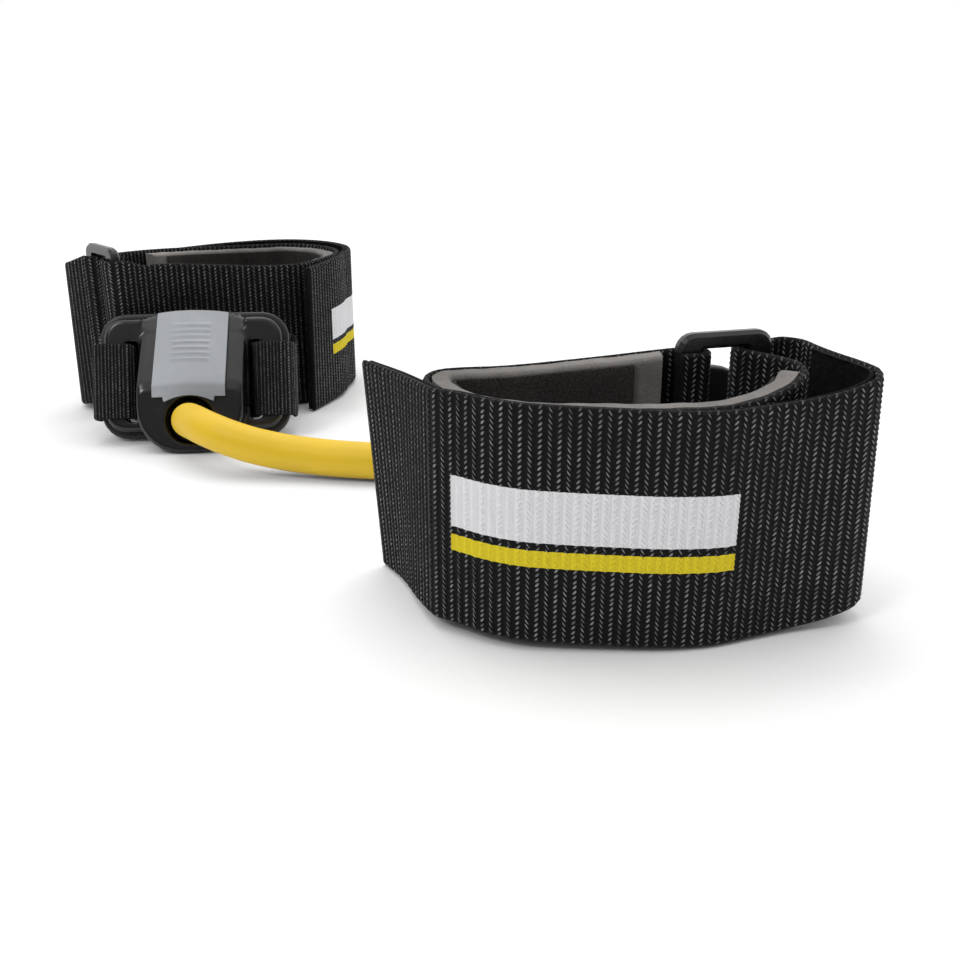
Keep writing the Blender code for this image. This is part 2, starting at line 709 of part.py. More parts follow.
def make_band(side, cuff):
    """Narrow band sewn to the cuff's wall, looped through the connector's slots."""
    base = cuff_routes(cuff)[0]
    edges = band_edges(cuff, base)
    half = 0.5 * WEB_THICK
    loops = []
    count = len(edges)
    for index, (lower, upper) in enumerate(edges):
        before = edges[index - 1]
        after = edges[(index + 1) % count]
        way = (after[0] + after[1] - before[0] - before[1]).normalized()
        rise = (upper - lower).normalized()
        out = way.cross(rise).normalized() * half
        loops.append([lower - out, lower + out, upper + out, upper - out])
    loft(side + "_connector_band", loops, "webbing", closed=True)


def tube_points():
    """Points along the tube, read from a smooth curve between its two seats."""
    ends = []
    for side, cuff in CUFFS:
        frame = connector_matrix(cuff)
        depths = (TUBE_INSERT, 5.0, 2.0)
        ends.append([frame @ (Vector((0.0, depth, BORE_HEIGHT)) * MM) / MM for depth in depths])
    dense = catmull(ends[0] + [Vector(point) for point in TUBE_ROUTE] + ends[1][::-1])
    runs = [(after - before).length for before, after in zip(dense, dense[1:])]
    first = sum(runs[:2 * CURVE_PIECES])
    last = sum(runs[:-2 * CURVE_PIECES])
    count = round((last - first) / TUBE_STRIDE)
    marks = [first + (last - first) * step / count for step in range(count + 1)]
    kept = [dense[0]]
    travelled = 0.0
    for point, run in zip(dense[1:], runs):
        travelled += run
        if marks and travelled >= marks[0] - 0.001:
            kept.append(point)
            marks.pop(0)
    kept.append(dense[-1])
    return kept


def make_tube():
    """Stretch tube lying between the two connectors."""
    points = tube_points()
    curve = bpy.data.curves.new("resistance_tube", "CURVE")
    curve.dimensions = "3D"
    curve.bevel_depth = 0.5 * TUBE_DIAMETER * MM
    curve.bevel_resolution = 3
    curve.use_fill_caps = True
    spline = curve.splines.new("POLY")
    spline.points.add(len(points) - 1)
    for spot, point in zip(spline.points, points):
        spot.co = (*(point * MM), 1.0)
    add_object("resistance_tube", curve, "tube")


def main():
    clear_scene()
    shapes = connector_shapes()
    for side, cuff in CUFFS:
        make_cuff(side, cuff)
        make_ring(side, cuff)
        make_connector(side, cuff, shapes)
        make_band(side, cuff)
    make_tube()


main()
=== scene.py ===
"""Looks of a lateral resistance trainer, dressed over its moving frame."""

import math

import bmesh
import bpy
import numpy as np
from bpy.props import FloatProperty, FloatVectorProperty, IntProperty, PointerProperty
from mathutils import Matrix, Vector


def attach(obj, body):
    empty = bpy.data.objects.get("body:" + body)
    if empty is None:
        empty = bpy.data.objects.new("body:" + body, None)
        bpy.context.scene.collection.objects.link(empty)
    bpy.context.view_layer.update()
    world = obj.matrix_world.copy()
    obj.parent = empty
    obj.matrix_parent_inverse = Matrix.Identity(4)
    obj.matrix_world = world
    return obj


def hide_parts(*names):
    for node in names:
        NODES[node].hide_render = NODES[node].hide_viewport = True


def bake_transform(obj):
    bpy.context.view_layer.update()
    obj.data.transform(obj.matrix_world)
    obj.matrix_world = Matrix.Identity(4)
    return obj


bl_info = {
    "name": "Lateral Resistance Trainer",
    "version": (1, 0, 0),
    "blender": (4, 5, 0),
    "location": "View3D > Sidebar > Trainer",
    "description": "Builds the ankle cuffs, connectors and stretch tube over the moving frame",
    "category": "Object",
}

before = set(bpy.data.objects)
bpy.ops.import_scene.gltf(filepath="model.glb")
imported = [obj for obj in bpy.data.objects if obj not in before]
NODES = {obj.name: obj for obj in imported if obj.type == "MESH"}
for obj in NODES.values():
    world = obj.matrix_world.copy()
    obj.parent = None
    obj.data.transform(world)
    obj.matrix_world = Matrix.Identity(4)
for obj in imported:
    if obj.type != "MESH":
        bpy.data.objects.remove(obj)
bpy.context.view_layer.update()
MM = 0.001

# Straps, pads and fastening, in millimetres; the gap lies between all layers. Rows and the
# pad's trim are counts.
GAP = 0.3
WEB_THICK = 1.8
WEB_WIDTH = 50.0
HOOK_THICK = 0.6
LOOP_THICK = 0.8
LOOP_HEIGHT = 47.0
LOOP_LOW = 1.5
LOOP_SPREAD = 1.2
LAYER_ROOM = 0.2
FOAM_THICK = 4.2
FOAM_LOW = 0.6
FOAM_HEIGHT = 48.2
FOAM_EDGE = 1.3
LINING_THICK = 0.6
LINING_LOW = 2.6
PILE_STEP = 0.8
PILE_ROWS = 44
PAD_STEP = 1.2
PAD_ROWS = 24
PAD_TRIM = 2
CUT_WAVE = 0.05
CUT_WAVES = ((0.9, 0.0), (0.37, 1.0))

# Slip ring and the folds round its bars, in millimetres; the fold's steps are a count
RING_LIFT = 4.8
RING_SIDE_BAR = 6.0
RING_THICK = 3.0
RING_PITCH = 16.6
RING_SWING_ROOM = 1.2
FOLD_ROOM = 0.5
FOLD_STEPS = 6

# Connector, its band and its cap, in millimetres. The left connector leans back by LEAN.
# CAP_SLOPE has the cap's top and foot as shares of the way up the housing's slope. The grip
# ridges' start, pitch and span are shares of the way down the cap.
LEAN = math.radians(22.0)
PLATE_TOP = 46.8
PLATE_FRONT = 12.5
BODY_FRONT_TOP = 21.2
BORE_HEIGHT = 10.7
BAND_WIDTH = 24.0
BAND_LOW = 12.4
BAND_BEHIND = 16.6
CAP_WIDTH = 22.4
CAP_EDGE = 1.0
CAP_CROWN = 1.4
CAP_SLOPE = (0.975, 0.06)
CAP_SLOPE_ROWS = 48
CAP_COLUMNS = 57
CAP_TAB_LOW = 18.0
CAP_ARCH_TOP = 18.4
CAP_ARCH_DROP = 2.1
CAP_ARCH_HALF = 7.9
RIDGE_FROM = 0.2
RIDGE_PITCH = 0.085
RIDGE_SPAN = 6.5 * RIDGE_PITCH
RIDGE_HALF = 6.2
RIDGE_HEIGHT = 0.35
RIDGE_ENDS = 0.5

# Softened and bevelled edges of the mouldings, in metres
EASED_DETAIL = 0.0004
BEVEL_WIDTH = 0.0004

# Tube, in millimetres: its width, and the depths in each bore where it lies straight
TUBE_DIAMETER = 10.8
TUBE_SEAT = (7.5, 5.0, 2.0)
TUBE_PIECES = 10

# Pieces in a smooth route between two of its given points
CURVE_PIECES = 24

# Raised yarns: points to a column and their heights, height of a sunk yarn, rows that fade
# towards an edge, and the share of the strap's thickness left there
COLUMN_POINTS = 4
YARN_PROFILE = (0.0, 0.62, 1.0, 0.62)
SUNK_YARN = 0.25
EDGE_ROWS = 2.0
EDGE_THICKNESS = 0.45

# Shape of a raised yarn, in its bump and its painted highlight: 2 / narrowing of a column wide
# and 2 / thinning of a row tall, with the odd columns' change of thinning
YARN_NARROWING = 4.4
YARN_THINNING = 3.9
ODD_THINNING = -0.8

# Printed stripes on the tails: colour, middle height and half width in centimetres
STRIPE_BARS = (("stripe", 2.75, 0.55), ("thin_stripe", 1.85, 0.18))

PALE_LINT = (0.12, 0.12, 0.12, 1.0)
PILE_LINT = (0.05, 0.05, 0.052, 1.0)
TUBE_BLOOM = (0.95, 0.9, 0.7, 1.0)
TUBE_BOUNCE = (0.35, 0.33, 0.3, 1.0)
PLUG_RUBBER = (0.03, 0.03, 0.03)

# Camera, floor and lights, in metres; the dome's strength in front, behind and overhead, and
# where on the way back its front turns into its back
CAMERA_PLACE = (0.031, -0.307, 0.1083)
CAMERA_TILT = math.radians(69.5)
CAMERA_LENS = 39.7
FLOOR_REACH = 60.0
FLOOR_LEVEL = -0.0002
DOME_FRONT = 0.15
DOME_BACK = 1.38
DOME_TOP = 1.32
DOME_TURN = (-0.25, 0.45)
SOFTBOXES = (
    ("Overhead", (-0.1, 0.15, 0.8), (-0.03, 0.0, 0.02), (0.6, 0.12), 0.5),
    ("Key", (-0.5, -0.55, 0.75), (0.0, -0.02, 0.02), (0.25, 0.2), 1.8),
)

# How each cuff lies. Routes are the middle of the webbing in plan with the lift of its lower
# edge. A lean is a place, its reach, and how far the strap's foot and top move there.
RIGHT = {
    "ring": (75.7, -84.6, 15.3),
    "fold": "flat",
    "base": (
        (69.0, -82.4, 4.4), (60.5, -82.9, 3.5), (50.5, -82.2, 2.2), (40.5, -81.5, 1.0),
        (33.0, -80.9, 0.3), (27.0, -80.5, 0.0), (21.9, -82.6, 0.0), (19.6, -87.4, 0.0),
        (21.0, -94.4, 0.0), (24.8, -101.8, 0.0), (30.9, -107.3, 0.0), (39.3, -111.2, 0.0),
        (48.0, -112.2, 0.0), (58.0, -112.5, 0.0), (68.0, -112.5, 0.0), (76.9, -111.1, 0.0),
        (83.8, -108.6, 0.4), (90.0, -105.8, 1.6), (94.6, -102.6, 3.2), (96.8, -98.6, 4.3),
        (96.4, -94.4, 4.8), (94.1, -90.4, 4.8),
    ),
    "arrival": -150.0,
    "tail": (
        (95.0, -73.9, 4.8), (99.2, -71.9, 4.9), (102.8, -74.2, 4.9), (104.3, -79.5, 4.9),
        (106.4, -86.8, 4.9), (109.1, -93.4, 4.8), (110.8, -99.6, 4.6), (109.4, -103.6, 3.9),
        (105.4, -105.9, 2.7), (99.8, -107.6, 1.5), (93.6, -109.6, 0.9),
    ),
    "tail_lift": (0.3, 2.6),
    "layer_from": (83.8, -108.6),
    "peel": (29.0, -106.6),
    "peel_way": (-0.85, 0.53),
    "end": ((22.2, -106.6, 2.5), (18.4, -99.0, 1.9), (13.2, -86.4, 0.8), (6.4, -74.4, 0.0)),
    "pad": ((69.0, -82.5), (96.6, -99.5)),
    "hook": ((80.0, -110.2), (32.0, -108.4)),
    "loop_from": (104.3, -79.5),
    "foot": (64.0, -50.5, -0.3, 180.0),
    "lean": 0.0,
    "sewn": ((68.0, -82.5), (50.0, -82.2)),
    "band_sides": (((79.5, -73.4), (90.6, -68.6)), ((44.0, -73.8), (36.2, -68.2))),
    "band_low": 11.9,
    "stripes": (40.0, 98.0),
    "leans": (((6.4, -74.4), 30.0, (2.0, -0.6), (-1.5, 0.6)),
              ((111.0, -98.0), 22.0, (1.9, -0.5), (0.45, 0.0))),
    "pad_rise": 1.1,
    "lining_top": 49.0,
}
LEFT = {
    "ring": (-88.3, 40.5, 130.9),
    "fold": "square",
    "base": (
        (-80.8, 42.0, 3.0), (-74.0, 48.2, 2.4), (-64.3, 53.9, 1.3), (-54.2, 57.3, 0.5),
        (-44.2, 58.9, 0.0), (-37.4, 60.4, 0.0), (-31.6, 63.9, 0.0), (-28.4, 70.1, 0.0),
        (-25.3, 78.2, 0.0), (-23.1, 85.1, 0.0), (-22.4, 92.0, 0.0), (-24.6, 100.5, 0.0),
        (-33.2, 109.7, 0.0), (-44.2, 113.1, 0.0), (-57.2, 109.6, 0.0), (-71.6, 102.3, 0.4),
        (-80.8, 93.3, 1.2), (-87.7, 82.3, 2.2), (-93.0, 71.5, 3.0), (-95.6, 64.2, 3.5),
    ),
    "arrival": -112.0,
    "tail": (
        (-108.6, 55.2, 1.8), (-110.8, 62.0, 0.9), (-108.3, 71.2, 0.2), (-101.5, 82.4, 0.0),
        (-91.3, 94.0, 0.0), (-81.2, 102.2, 0.2), (-69.2, 109.2, 0.7),
    ),
    "tail_lift": (1.0, 1.0),
    "layer_from": (-57.2, 109.6),
    "peel": (-22.9, 86.0),
    "peel_way": (0.8, -0.6),
    "end": ((-19.4, 77.4, 1.0), (-20.4, 71.4, 0.9), (-23.0, 63.8, 0.6), (-27.4, 52.5, 0.2)),
    "pad": ((-80.0, 43.0), (-89.0, 80.0)),
    "hook": ((-68.0, 104.5), (-24.2, 90.0)),
    "loop_from": (-110.8, 61.8),
    "foot": (-59.4, 5.6, 0.0, 5.0),
    "lean": LEAN,
    "sewn": ((-70.5, 50.5), (-54.2, 57.3)),
    "band_sides": (((-79.8, 33.9), (-88.3, 30.0)), ((-41.0, 46.2), (-30.6, 35.6))),
    "band_low": 6.3,
    "stripes": (14.0, 60.0),
    "leans": (((-27.4, 52.5), 24.0, (-0.4, -0.2), (0.4, 0.2)),
              ((-111.0, 62.0), 16.0, (-0.8, 0.0), (0.0, 0.0))),
    "pad_rise": 0.0,
    "lining_top": 48.0,
}
CUFFS = (("left", LEFT), ("right", RIGHT))

# Middle of the band round a wing and through its slot: distance from the middle, depth
BAND_WRAP = (
    (31.2, 16.6), (31.5, 14.0), (31.3, 10.8), (30.2, 8.7), (28.1, 8.0), (23.2, 8.0),
    (20.9, 8.4), (19.6, 10.2), (19.5, 12.5), (19.4, 14.6), (18.3, 16.2), (15.8, 16.6),
)
BAND_SWAY = (0.35, 0.8)

# Middle of the tube between its two ends: x, y, z in millimetres
TUBE_ROUTE = (
    (-58.6, 5.2, 11.2), (-55.9, 0.1, 12.2), (-52.1, -4.4, 12.2), (-47.3, -8.0, 11.5),
    (-41.8, -10.3, 10.2), (-35.8, -11.5, 8.7), (-26.0, -12.6, 6.9), (-14.5, -14.2, 5.9),
    (-2.0, -16.0, 5.6), (11.0, -17.3, 5.6), (23.0, -18.1, 5.6), (34.0, -19.4, 5.8),
    (45.2, -22.0, 6.6), (54.8, -27.0, 8.0), (61.4, -34.8, 9.5), (63.9, -43.6, 10.3),
)


# Settings

def tint(name, description, default):
    """A colour among the settings."""
    return FloatVectorProperty(name=name, description=description, subtype="COLOR",
                               default=default, min=0.0, max=1.0)


def distance(name, description, default, low, high):
    """A length among the settings, in metres."""
    return FloatProperty(name=name, description=description, subtype="DISTANCE",
                         unit="LENGTH", default=default, min=low, max=high)


class TrainerColours(bpy.types.PropertyGroup):
    """Colours of the trainer's materials."""

    webbing: tint("Webbing", "Yarn of the straps and bands", (0.007, 0.007, 0.0076))
    # The raised yarn colour is a painted highlight on the black yarn's tops, not a paler yarn
    knots: tint("Raised yarn", "Tops of the woven yarn, worn a little paler", (0.34, 0.34, 0.345))
    foam: tint("Foam", "Cut foam of the pads", (0.2, 0.188, 0.178))
    pile: tint("Pile", "Hook and loop fastening", (0.006, 0.006, 0.0065))
    lining: tint("Lining", "Brushed lining of the pads", (0.052, 0.047, 0.045))
    shell: tint("Housing", "Glossy moulded connectors", (0.007, 0.007, 0.0072))
    ring: tint("Slip ring", "Satin moulded rings", (0.009, 0.009, 0.0095))
    cap: tint("Cap", "Moulded cap on each connector", (0.37, 0.386, 0.405))
    tube: tint("Tube", "Stretch tube", (0.80, 0.525, 0.016))
    stripe: tint("Wide stripe", "Wide printed stripe on the tails", (0.88, 0.88, 0.90))
    thin_stripe: tint("Narrow stripe", "Narrow printed stripe on the tails", (0.85, 0.68, 0.03))
    floor: tint("Floor", "Pale floor and backdrop", (0.99, 0.99, 0.99))


class TrainerSizes(bpy.types.PropertyGroup):
    """Sizes of the trainer's surface detail."""

    column_pitch: distance(
        "Weave columns", "Distance between the straps' woven columns", 0.00186, 0.0008, 0.004)
    knot_pitch: distance(
        "Weave knots", "Distance between raised yarns in one column", 0.00112, 0.0006, 0.004)
    band_column_pitch: distance(
        "Band columns", "Distance between the bands' woven columns", 0.00105, 0.0006, 0.003)
    band_knot_pitch: distance(
        "Band knots", "Distance between raised yarns in a band's column", 0.00095, 0.0006, 0.003)
    relief: distance("Weave relief", "Height of the raised yarns", 0.0003, 0.0, 0.001)
    pile_length: distance("Pile length", "Unevenness of the fastening's pile", 0.0003, 0.0, 0.001)
    tube_sides: IntProperty(
        name="Tube sides", description="Faces round the tube", default=32, min=12, max=96)


def colours():
    """The trainer's colours in this scene."""
    return bpy.context.scene.trainer_colours


def sizes():
    """The trainer's surface sizes in this scene."""
    return bpy.context.scene.trainer_sizes


# Routes

def catmull(points, pieces=CURVE_PIECES):
    """Dense points of a centripetal Catmull-Rom curve through the given points."""
    given = [Vector(point) for point in points]
    given.insert(0, given[0] * 2.0 - given[1])
    given.append(given[-1] * 2.0 - given[-2])
    dense = []
    for before, start, end, after in zip(given, given[1:], given[2:], given[3:]):
        lead = math.sqrt((start - before).length)
        span = math.sqrt((end - start).length)
        trail = math.sqrt((after - end).length)
        leave = span * ((start - before) / lead - (end - before) / (lead + span)
                        + (end - start) / span)
        arrive = span * ((end - start) / span - (after - start) / (span + trail)
                         + (after - end) / trail)
        for piece in range(pieces):
            at = piece / pieces
            rest = 1.0 - at
            point = start * (rest * rest * (1.0 + 2.0 * at)) + end * (at * at * (3.0 - 2.0 * at))
            point += leave * (at * rest * rest) - arrive * (at * at * rest)
            dense.append(point)
    dense.append(given[-2])
    return dense


def stations(points, turn=math.radians(13.0), stride=6.0):
    """Stations on a smooth plan route: point, left normal and lift, closer in bends."""
    dense = catmull(points)
    kept = []
    heading = None
    travelled = 0.0
    for index, point in enumerate(dense):
        before = dense[max(index - 1, 0)]
        after = dense[min(index + 1, len(dense) - 1)]
        way = Vector((after.x - before.x, after.y - before.y)).normalized()
        travelled += (point - before).to_2d().length
        last = index == len(dense) - 1
        if last and travelled < 0.6 and len(kept) > 1:
            kept.pop()
        if kept and not last and travelled < stride and abs(heading.angle_signed(way)) < turn:
            continue
        kept.append((Vector((point.x, point.y)), Vector((-way.y, way.x)), max(point.z, 0.0)))
        heading = way
        travelled = 0.0
    return kept


def nearest(route, place):
    """Index of the station closest to a place in plan."""
    gaps = [(spot - Vector(place)).length for spot, normal, lift in route]
    return gaps.index(min(gaps))


def between(route, places):
    """Stations from one of two places in plan to the other, in the route's own order."""
    low, high = sorted(nearest(route, place) for place in places)
    return route[low:high + 1]


def in_ring(cuff, places):
    """Plan points with lift from places given along and out from the ring's fixed bar."""
    x, y, yaw = cuff["ring"]
    along = Vector((math.cos(math.radians(yaw)), math.sin(math.radians(yaw))))
    out = Vector((-along.y, along.x))
    spots = [Vector((x, y)) + along * right + out * forward for right, forward in places]
    return [(spot.x, spot.y, RING_LIFT) for spot in spots]


def fixed_fold(cuff):
    """The sewn strap end: its short inner leaf, then the fold round the ring's fixed bar."""
    room = FOLD_ROOM + 0.5 * WEB_THICK
    side = 0.5 * RING_THICK + room
    flank = 0.5 * RING_SIDE_BAR + room
    turn = side - 0.6
    if cuff["fold"] == "flat":
        places = [(-2.9, -side), (-0.8, -side), (1.4, -side)]
        for degrees in (-60, -20, 20, 60):
            angle = math.radians(degrees)
            places.append((1.4 + side * math.cos(angle), side * math.sin(angle)))
        return in_ring(cuff, places + [(1.4, side), (-2.4, side)])
    places = [(flank, -6.0), (flank, -2.6), (flank, 0.6)]
    corner = (flank - turn, side - turn)
    diagonal = turn * math.sqrt(0.5)
    places.append((corner[0] + diagonal, corner[1] + diagonal))
    places += [(corner[0], side), (-corner[0], side)]
    places.append((-corner[0] - diagonal, corner[1] + diagonal))
    return in_ring(cuff, places + [(-flank, 0.6), (-flank, -2.6)])


def free_fold(cuff):
    """The running fold round the ring's free bar, wide enough for the ring to swing."""
    radius = 0.5 * RING_THICK + RING_SWING_ROOM + 0.5 * WEB_THICK
    places = []
    for step in range(FOLD_STEPS + 1):
        degrees = cuff["arrival"] + (-270.0 - cuff["arrival"]) * step / FOLD_STEPS
        angle = math.radians(degrees)
        places.append((RING_PITCH - 1.5 + radius * math.cos(angle), radius * math.sin(angle)))
    return in_ring(cuff, places)


def cuff_routes(cuff):
    """Stations of the base strap and of the whole tail, and the peel line's place in plan."""
    base = stations(fixed_fold(cuff) + list(cuff["base"]) + free_fold(cuff))
    over = WEB_THICK + GAP + HOOK_THICK + GAP + LAYER_ROOM + LOOP_THICK + GAP
    first, last = cuff["tail_lift"]
    under = between(base, (cuff["layer_from"], cuff["peel"]))[::-1]
    layered = []
    for index, (spot, normal, lift) in enumerate(under):
        rise = first + (last - first) * index / (len(under) - 1)
        layered.append((spot - normal * over, -normal, lift + rise))
    joint, normal, lift = layered[-1]
    onward = [(spot.x, spot.y, lift) for spot, normal, lift in layered]
    folded = free_fold(cuff)
    lead = Vector(folded[-1]) - Vector(folded[-2])
    start = Vector(folded[-1]) + lead.normalized() * GAP
    hand = stations([tuple(start)] + list(cuff["tail"]) + onward[:2])
    hand = hand[:nearest(hand, onward[0][:2])]
    loose = stations(onward[-2:] + list(cuff["end"]))
    loose = loose[nearest(loose, joint) + 1:]
    return base, hand + layered + loose, joint


def smooth_route(route, step):
    """Evenly spaced points along stations: places, outward normals, lifts and distances."""
    dense = catmull([(spot.x, spot.y, lift) for spot, normal, lift in route], 8)
    places = np.array([tuple(point) for point in dense])
    runs = np.hypot(*np.diff(places[:, :2], axis=0).T)
    reached = np.concatenate([[0.0], np.cumsum(runs)])
    count = max(int(reached[-1] / step), 2)
    marks = np.linspace(0.0, reached[-1], count + 1)
    even = np.stack([np.interp(marks, reached, places[:, axis]) for axis in range(3)], axis=1)
    ways = np.gradient(even[:, :2], axis=0)
    ways /= np.linalg.norm(ways, axis=1)[:, None]
    normals = np.stack([-ways[:, 1], ways[:, 0]], axis=1)
    return even, normals, marks


# Meshes

def grid_mesh(name, loops, across=None, along=None, closed=False, angle=60.0):
    """A closed mesh through an array of loops, in millimetres.

    Distances across and along it go into a map in centimetres.
    """
    rows, count = loops.shape[:2]
    mesh = bpy.data.meshes.new(name)
    index = np.arange(rows * count).reshape(rows, count)
    ahead = np.roll(index, -1, axis=0) if closed else index[1:]
    here = index if closed else index[:-1]
    quads = np.stack(
        [here, np.roll(here, -1, axis=1), np.roll(ahead, -1, axis=1), ahead], axis=2)
    faces = [tuple(face) for face in quads.reshape(-1, 4).tolist()]
    if not closed:
        faces.append(tuple(index[0][::-1].tolist()))
        faces.append(tuple(index[-1].tolist()))
    mesh.from_pydata((loops.reshape(-1, 3) * MM).tolist(), [], faces)
    mesh.update()
    builder = bmesh.new()
    builder.from_mesh(mesh)
    bmesh.ops.recalc_face_normals(builder, faces=builder.faces)
    builder.to_mesh(mesh)
    builder.free()
    if across is not None:
        where = np.zeros((rows, count, 2))
        where[..., 0] = along[:, None]
        where[..., 1] = across[None, :]
        corner = np.zeros(len(mesh.loops), dtype=np.int32)
        mesh.loops.foreach_get("vertex_index", corner)
        layer = mesh.uv_layers.new(name="Distances")
        centimetres = where.reshape(-1, 2)[corner] * MM * 100.0
        layer.uv.foreach_set("vector", centimetres.astype(np.float32).ravel())
    mesh.shade_smooth()
    mesh.set_sharp_from_angle(angle=math.radians(angle))
    return mesh


def add_piece(name, mesh, material):
    """A piece of the trainer in one material."""
    piece = bpy.data.objects.new(name, mesh)
    bpy.context.scene.collection.objects.link(piece)
    piece.data.materials.append(material)
    return piece


def weave_height(points, rows, relief):
    """Height of a plain weave at the points and rows of a strap."""
    profile = np.array(YARN_PROFILE)[points % COLUMN_POINTS]
    over = (rows[None, :] + (points // COLUMN_POINTS)[:, None]) % 2 == 0
    height = profile[:, None] * np.where(over, 1.0, SUNK_YARN)
    edge = np.minimum(rows, rows.max() - rows)
    return relief * height * np.clip((edge[None, :] + 0.5) / EDGE_ROWS, 0.0, 1.0)


def selvedge(heights, width, softness):
    """Share of a strap's thickness at each height, thinner at its two edges."""
    soft = np.clip(np.minimum(heights, width - heights) / softness, 0.0, 1.0) ** 0.5
    return EDGE_THICKNESS + (1.0 - EDGE_THICKNESS) * soft


def slanted(loops, heights, cuff):
    """Moves a tail's points so that its free end and its fold lean as cloth does."""
    share = (heights / WEB_WIDTH)[None, :]
    moved = loops.copy()
    for place, reach, foot, top in cuff["leans"]:
        near = np.hypot(loops[..., 0] - place[0], loops[..., 1] - place[1])
        weight = 0.5 + 0.5 * np.cos(np.pi * np.clip(near / reach, 0.0, 1.0))
        for axis in (0, 1):
            moved[..., axis] += weight * (foot[axis] + (top[axis] - foot[axis]) * share)
    return moved


def woven_strap(name, route, material, cuff=None):
    """A strap with its weave raised on both faces and soft selvedges."""
    knot_pitch, relief = sizes().knot_pitch / MM, sizes().relief / MM
    even, normals, marks = smooth_route(route, sizes().column_pitch / MM / COLUMN_POINTS)
    half = 0.5 * WEB_THICK - 0.75 * relief
    count = int(round(WEB_WIDTH / (0.5 * knot_pitch)))
    rows = np.arange(count + 1)
    heights = rows / count * WEB_WIDTH
    raised = weave_height(np.arange(len(even)), rows, relief)
    out = half * selvedge(heights, WEB_WIDTH, softness=0.7)[None, :] + raised
    faces = []
    for sign in (1.0, -1.0):
        face = np.zeros((len(even), count + 1, 3))
        for axis in (0, 1):
            face[..., axis] = even[:, axis][:, None] + sign * out * normals[:, axis][:, None]
        face[..., 2] = even[:, 2][:, None] + heights[None, :]
        faces.append(face)
    loops = np.concatenate([faces[0], faces[1][:, ::-1]], axis=1)
    across = np.concatenate([heights, heights[::-1]])
    if cuff:
        loops = slanted(loops, across, cuff)
    mesh = grid_mesh(name, loops, across, marks)
    return add_piece(name, mesh, material)


def layer_loops(even, normals, near, far, low, high, edge, steps=6, crown=0.0, rows=1):
    """Loops of an upright layer: flat near face, far face with rounded edges and a crown.

    Also gives the height and the distance from the route of each point in a loop.
    """
    sign = math.copysign(1.0, far - near)
    offsets = [near, far - sign * edge]
    heights = [low, low]
    for step in range(1, steps + 1):
        angle = 0.5 * math.pi * step / steps
        offsets.append(far - sign * edge * (1.0 - math.sin(angle)))
        heights.append(low + edge * (1.0 - math.cos(angle)))
    for row in range(1, rows):
        at = row / rows
        offsets.append(far + sign * crown * 4.0 * at * (1.0 - at))
        heights.append(low + edge + (high - low - 2.0 * edge) * at)
    for step in range(steps, -1, -1):
        angle = 0.5 * math.pi * step / steps
        offsets.append(far - sign * edge * (1.0 - math.sin(angle)))
        heights.append(high - edge * (1.0 - math.cos(angle)))
    offsets.append(near)
    heights.append(high)
    offsets = np.array(offsets)
    heights = np.array(heights)
    loops = np.zeros((len(even), len(offsets), 3))
    for axis in (0, 1):
        loops[..., axis] = (even[:, axis][:, None]
                            + offsets[None, :] * normals[:, axis][:, None])
    loops[..., 2] = even[:, 2][:, None] + heights[None, :]
    return loops, heights, offsets


def pile_layer(name, route, thick, spread, material, seed, cuff=None):
    """A patch inside the strap whose outer face is roughened by pile."""
    even, normals, marks = smooth_route(route, PILE_STEP)
    near = -0.5 * WEB_THICK - GAP
    far = near - thick
    loops, heights, offsets = layer_loops(
        even, normals, near, far, LOOP_LOW - spread, LOOP_LOW + LOOP_HEIGHT + spread,
        edge=0.15, steps=2, rows=PILE_ROWS)
    noise = np.random.default_rng(seed).random(loops.shape[:2])
    shown = (np.abs(offsets - far) < 0.02)[None, :]
    depth = noise * shown * min(sizes().pile_length / MM, 0.8 * thick)
    for axis in (0, 1):
        loops[..., axis] += depth * normals[:, axis][:, None]
    if cuff:
        loops = slanted(loops, heights, cuff)
    mesh = grid_mesh(name, loops, heights, marks, angle=180.0)
    return add_piece(name, mesh, material)


def finished_copy(name, node, material, finish):
    """A copy of a CAD moulding with its modifiers applied, which finish puts on it."""
    copy = bpy.data.objects.new(name, NODES[node].data.copy())
    bpy.context.scene.collection.objects.link(copy)
    copy.data.materials.clear()
    finish(copy)
    bpy.context.view_layer.update()
    graph = bpy.context.evaluated_depsgraph_get()
    mesh = bpy.data.meshes.new_from_object(copy.evaluated_get(graph))
    bpy.data.objects.remove(copy, do_unlink=True)
    mesh.name = name
    return add_piece(name, mesh, material)


def eased(copy):
    """Edges softened all over, as they leave the mould."""
    fine = copy.modifiers.new("Remesh", "REMESH")
    fine.mode = "VOXEL"
    fine.voxel_size = EASED_DETAIL
    fine.use_smooth_shade = True
    ease = copy.modifiers.new("Ease", "CORRECTIVE_SMOOTH")
    ease.rest_source = "ORCO"
    ease.use_only_smooth = True
    ease.iterations = 3
    ease.factor = 0.5


def bevelled(copy):
    """Crisp, narrowly bevelled edges."""
    bevel = copy.modifiers.new("Bevel", "BEVEL")
    bevel.width = BEVEL_WIDTH
    bevel.segments = 3
    bevel.limit_method = "ANGLE"
    bevel.angle_limit = math.radians(40.0)
    bevel.harden_normals = True


# Materials

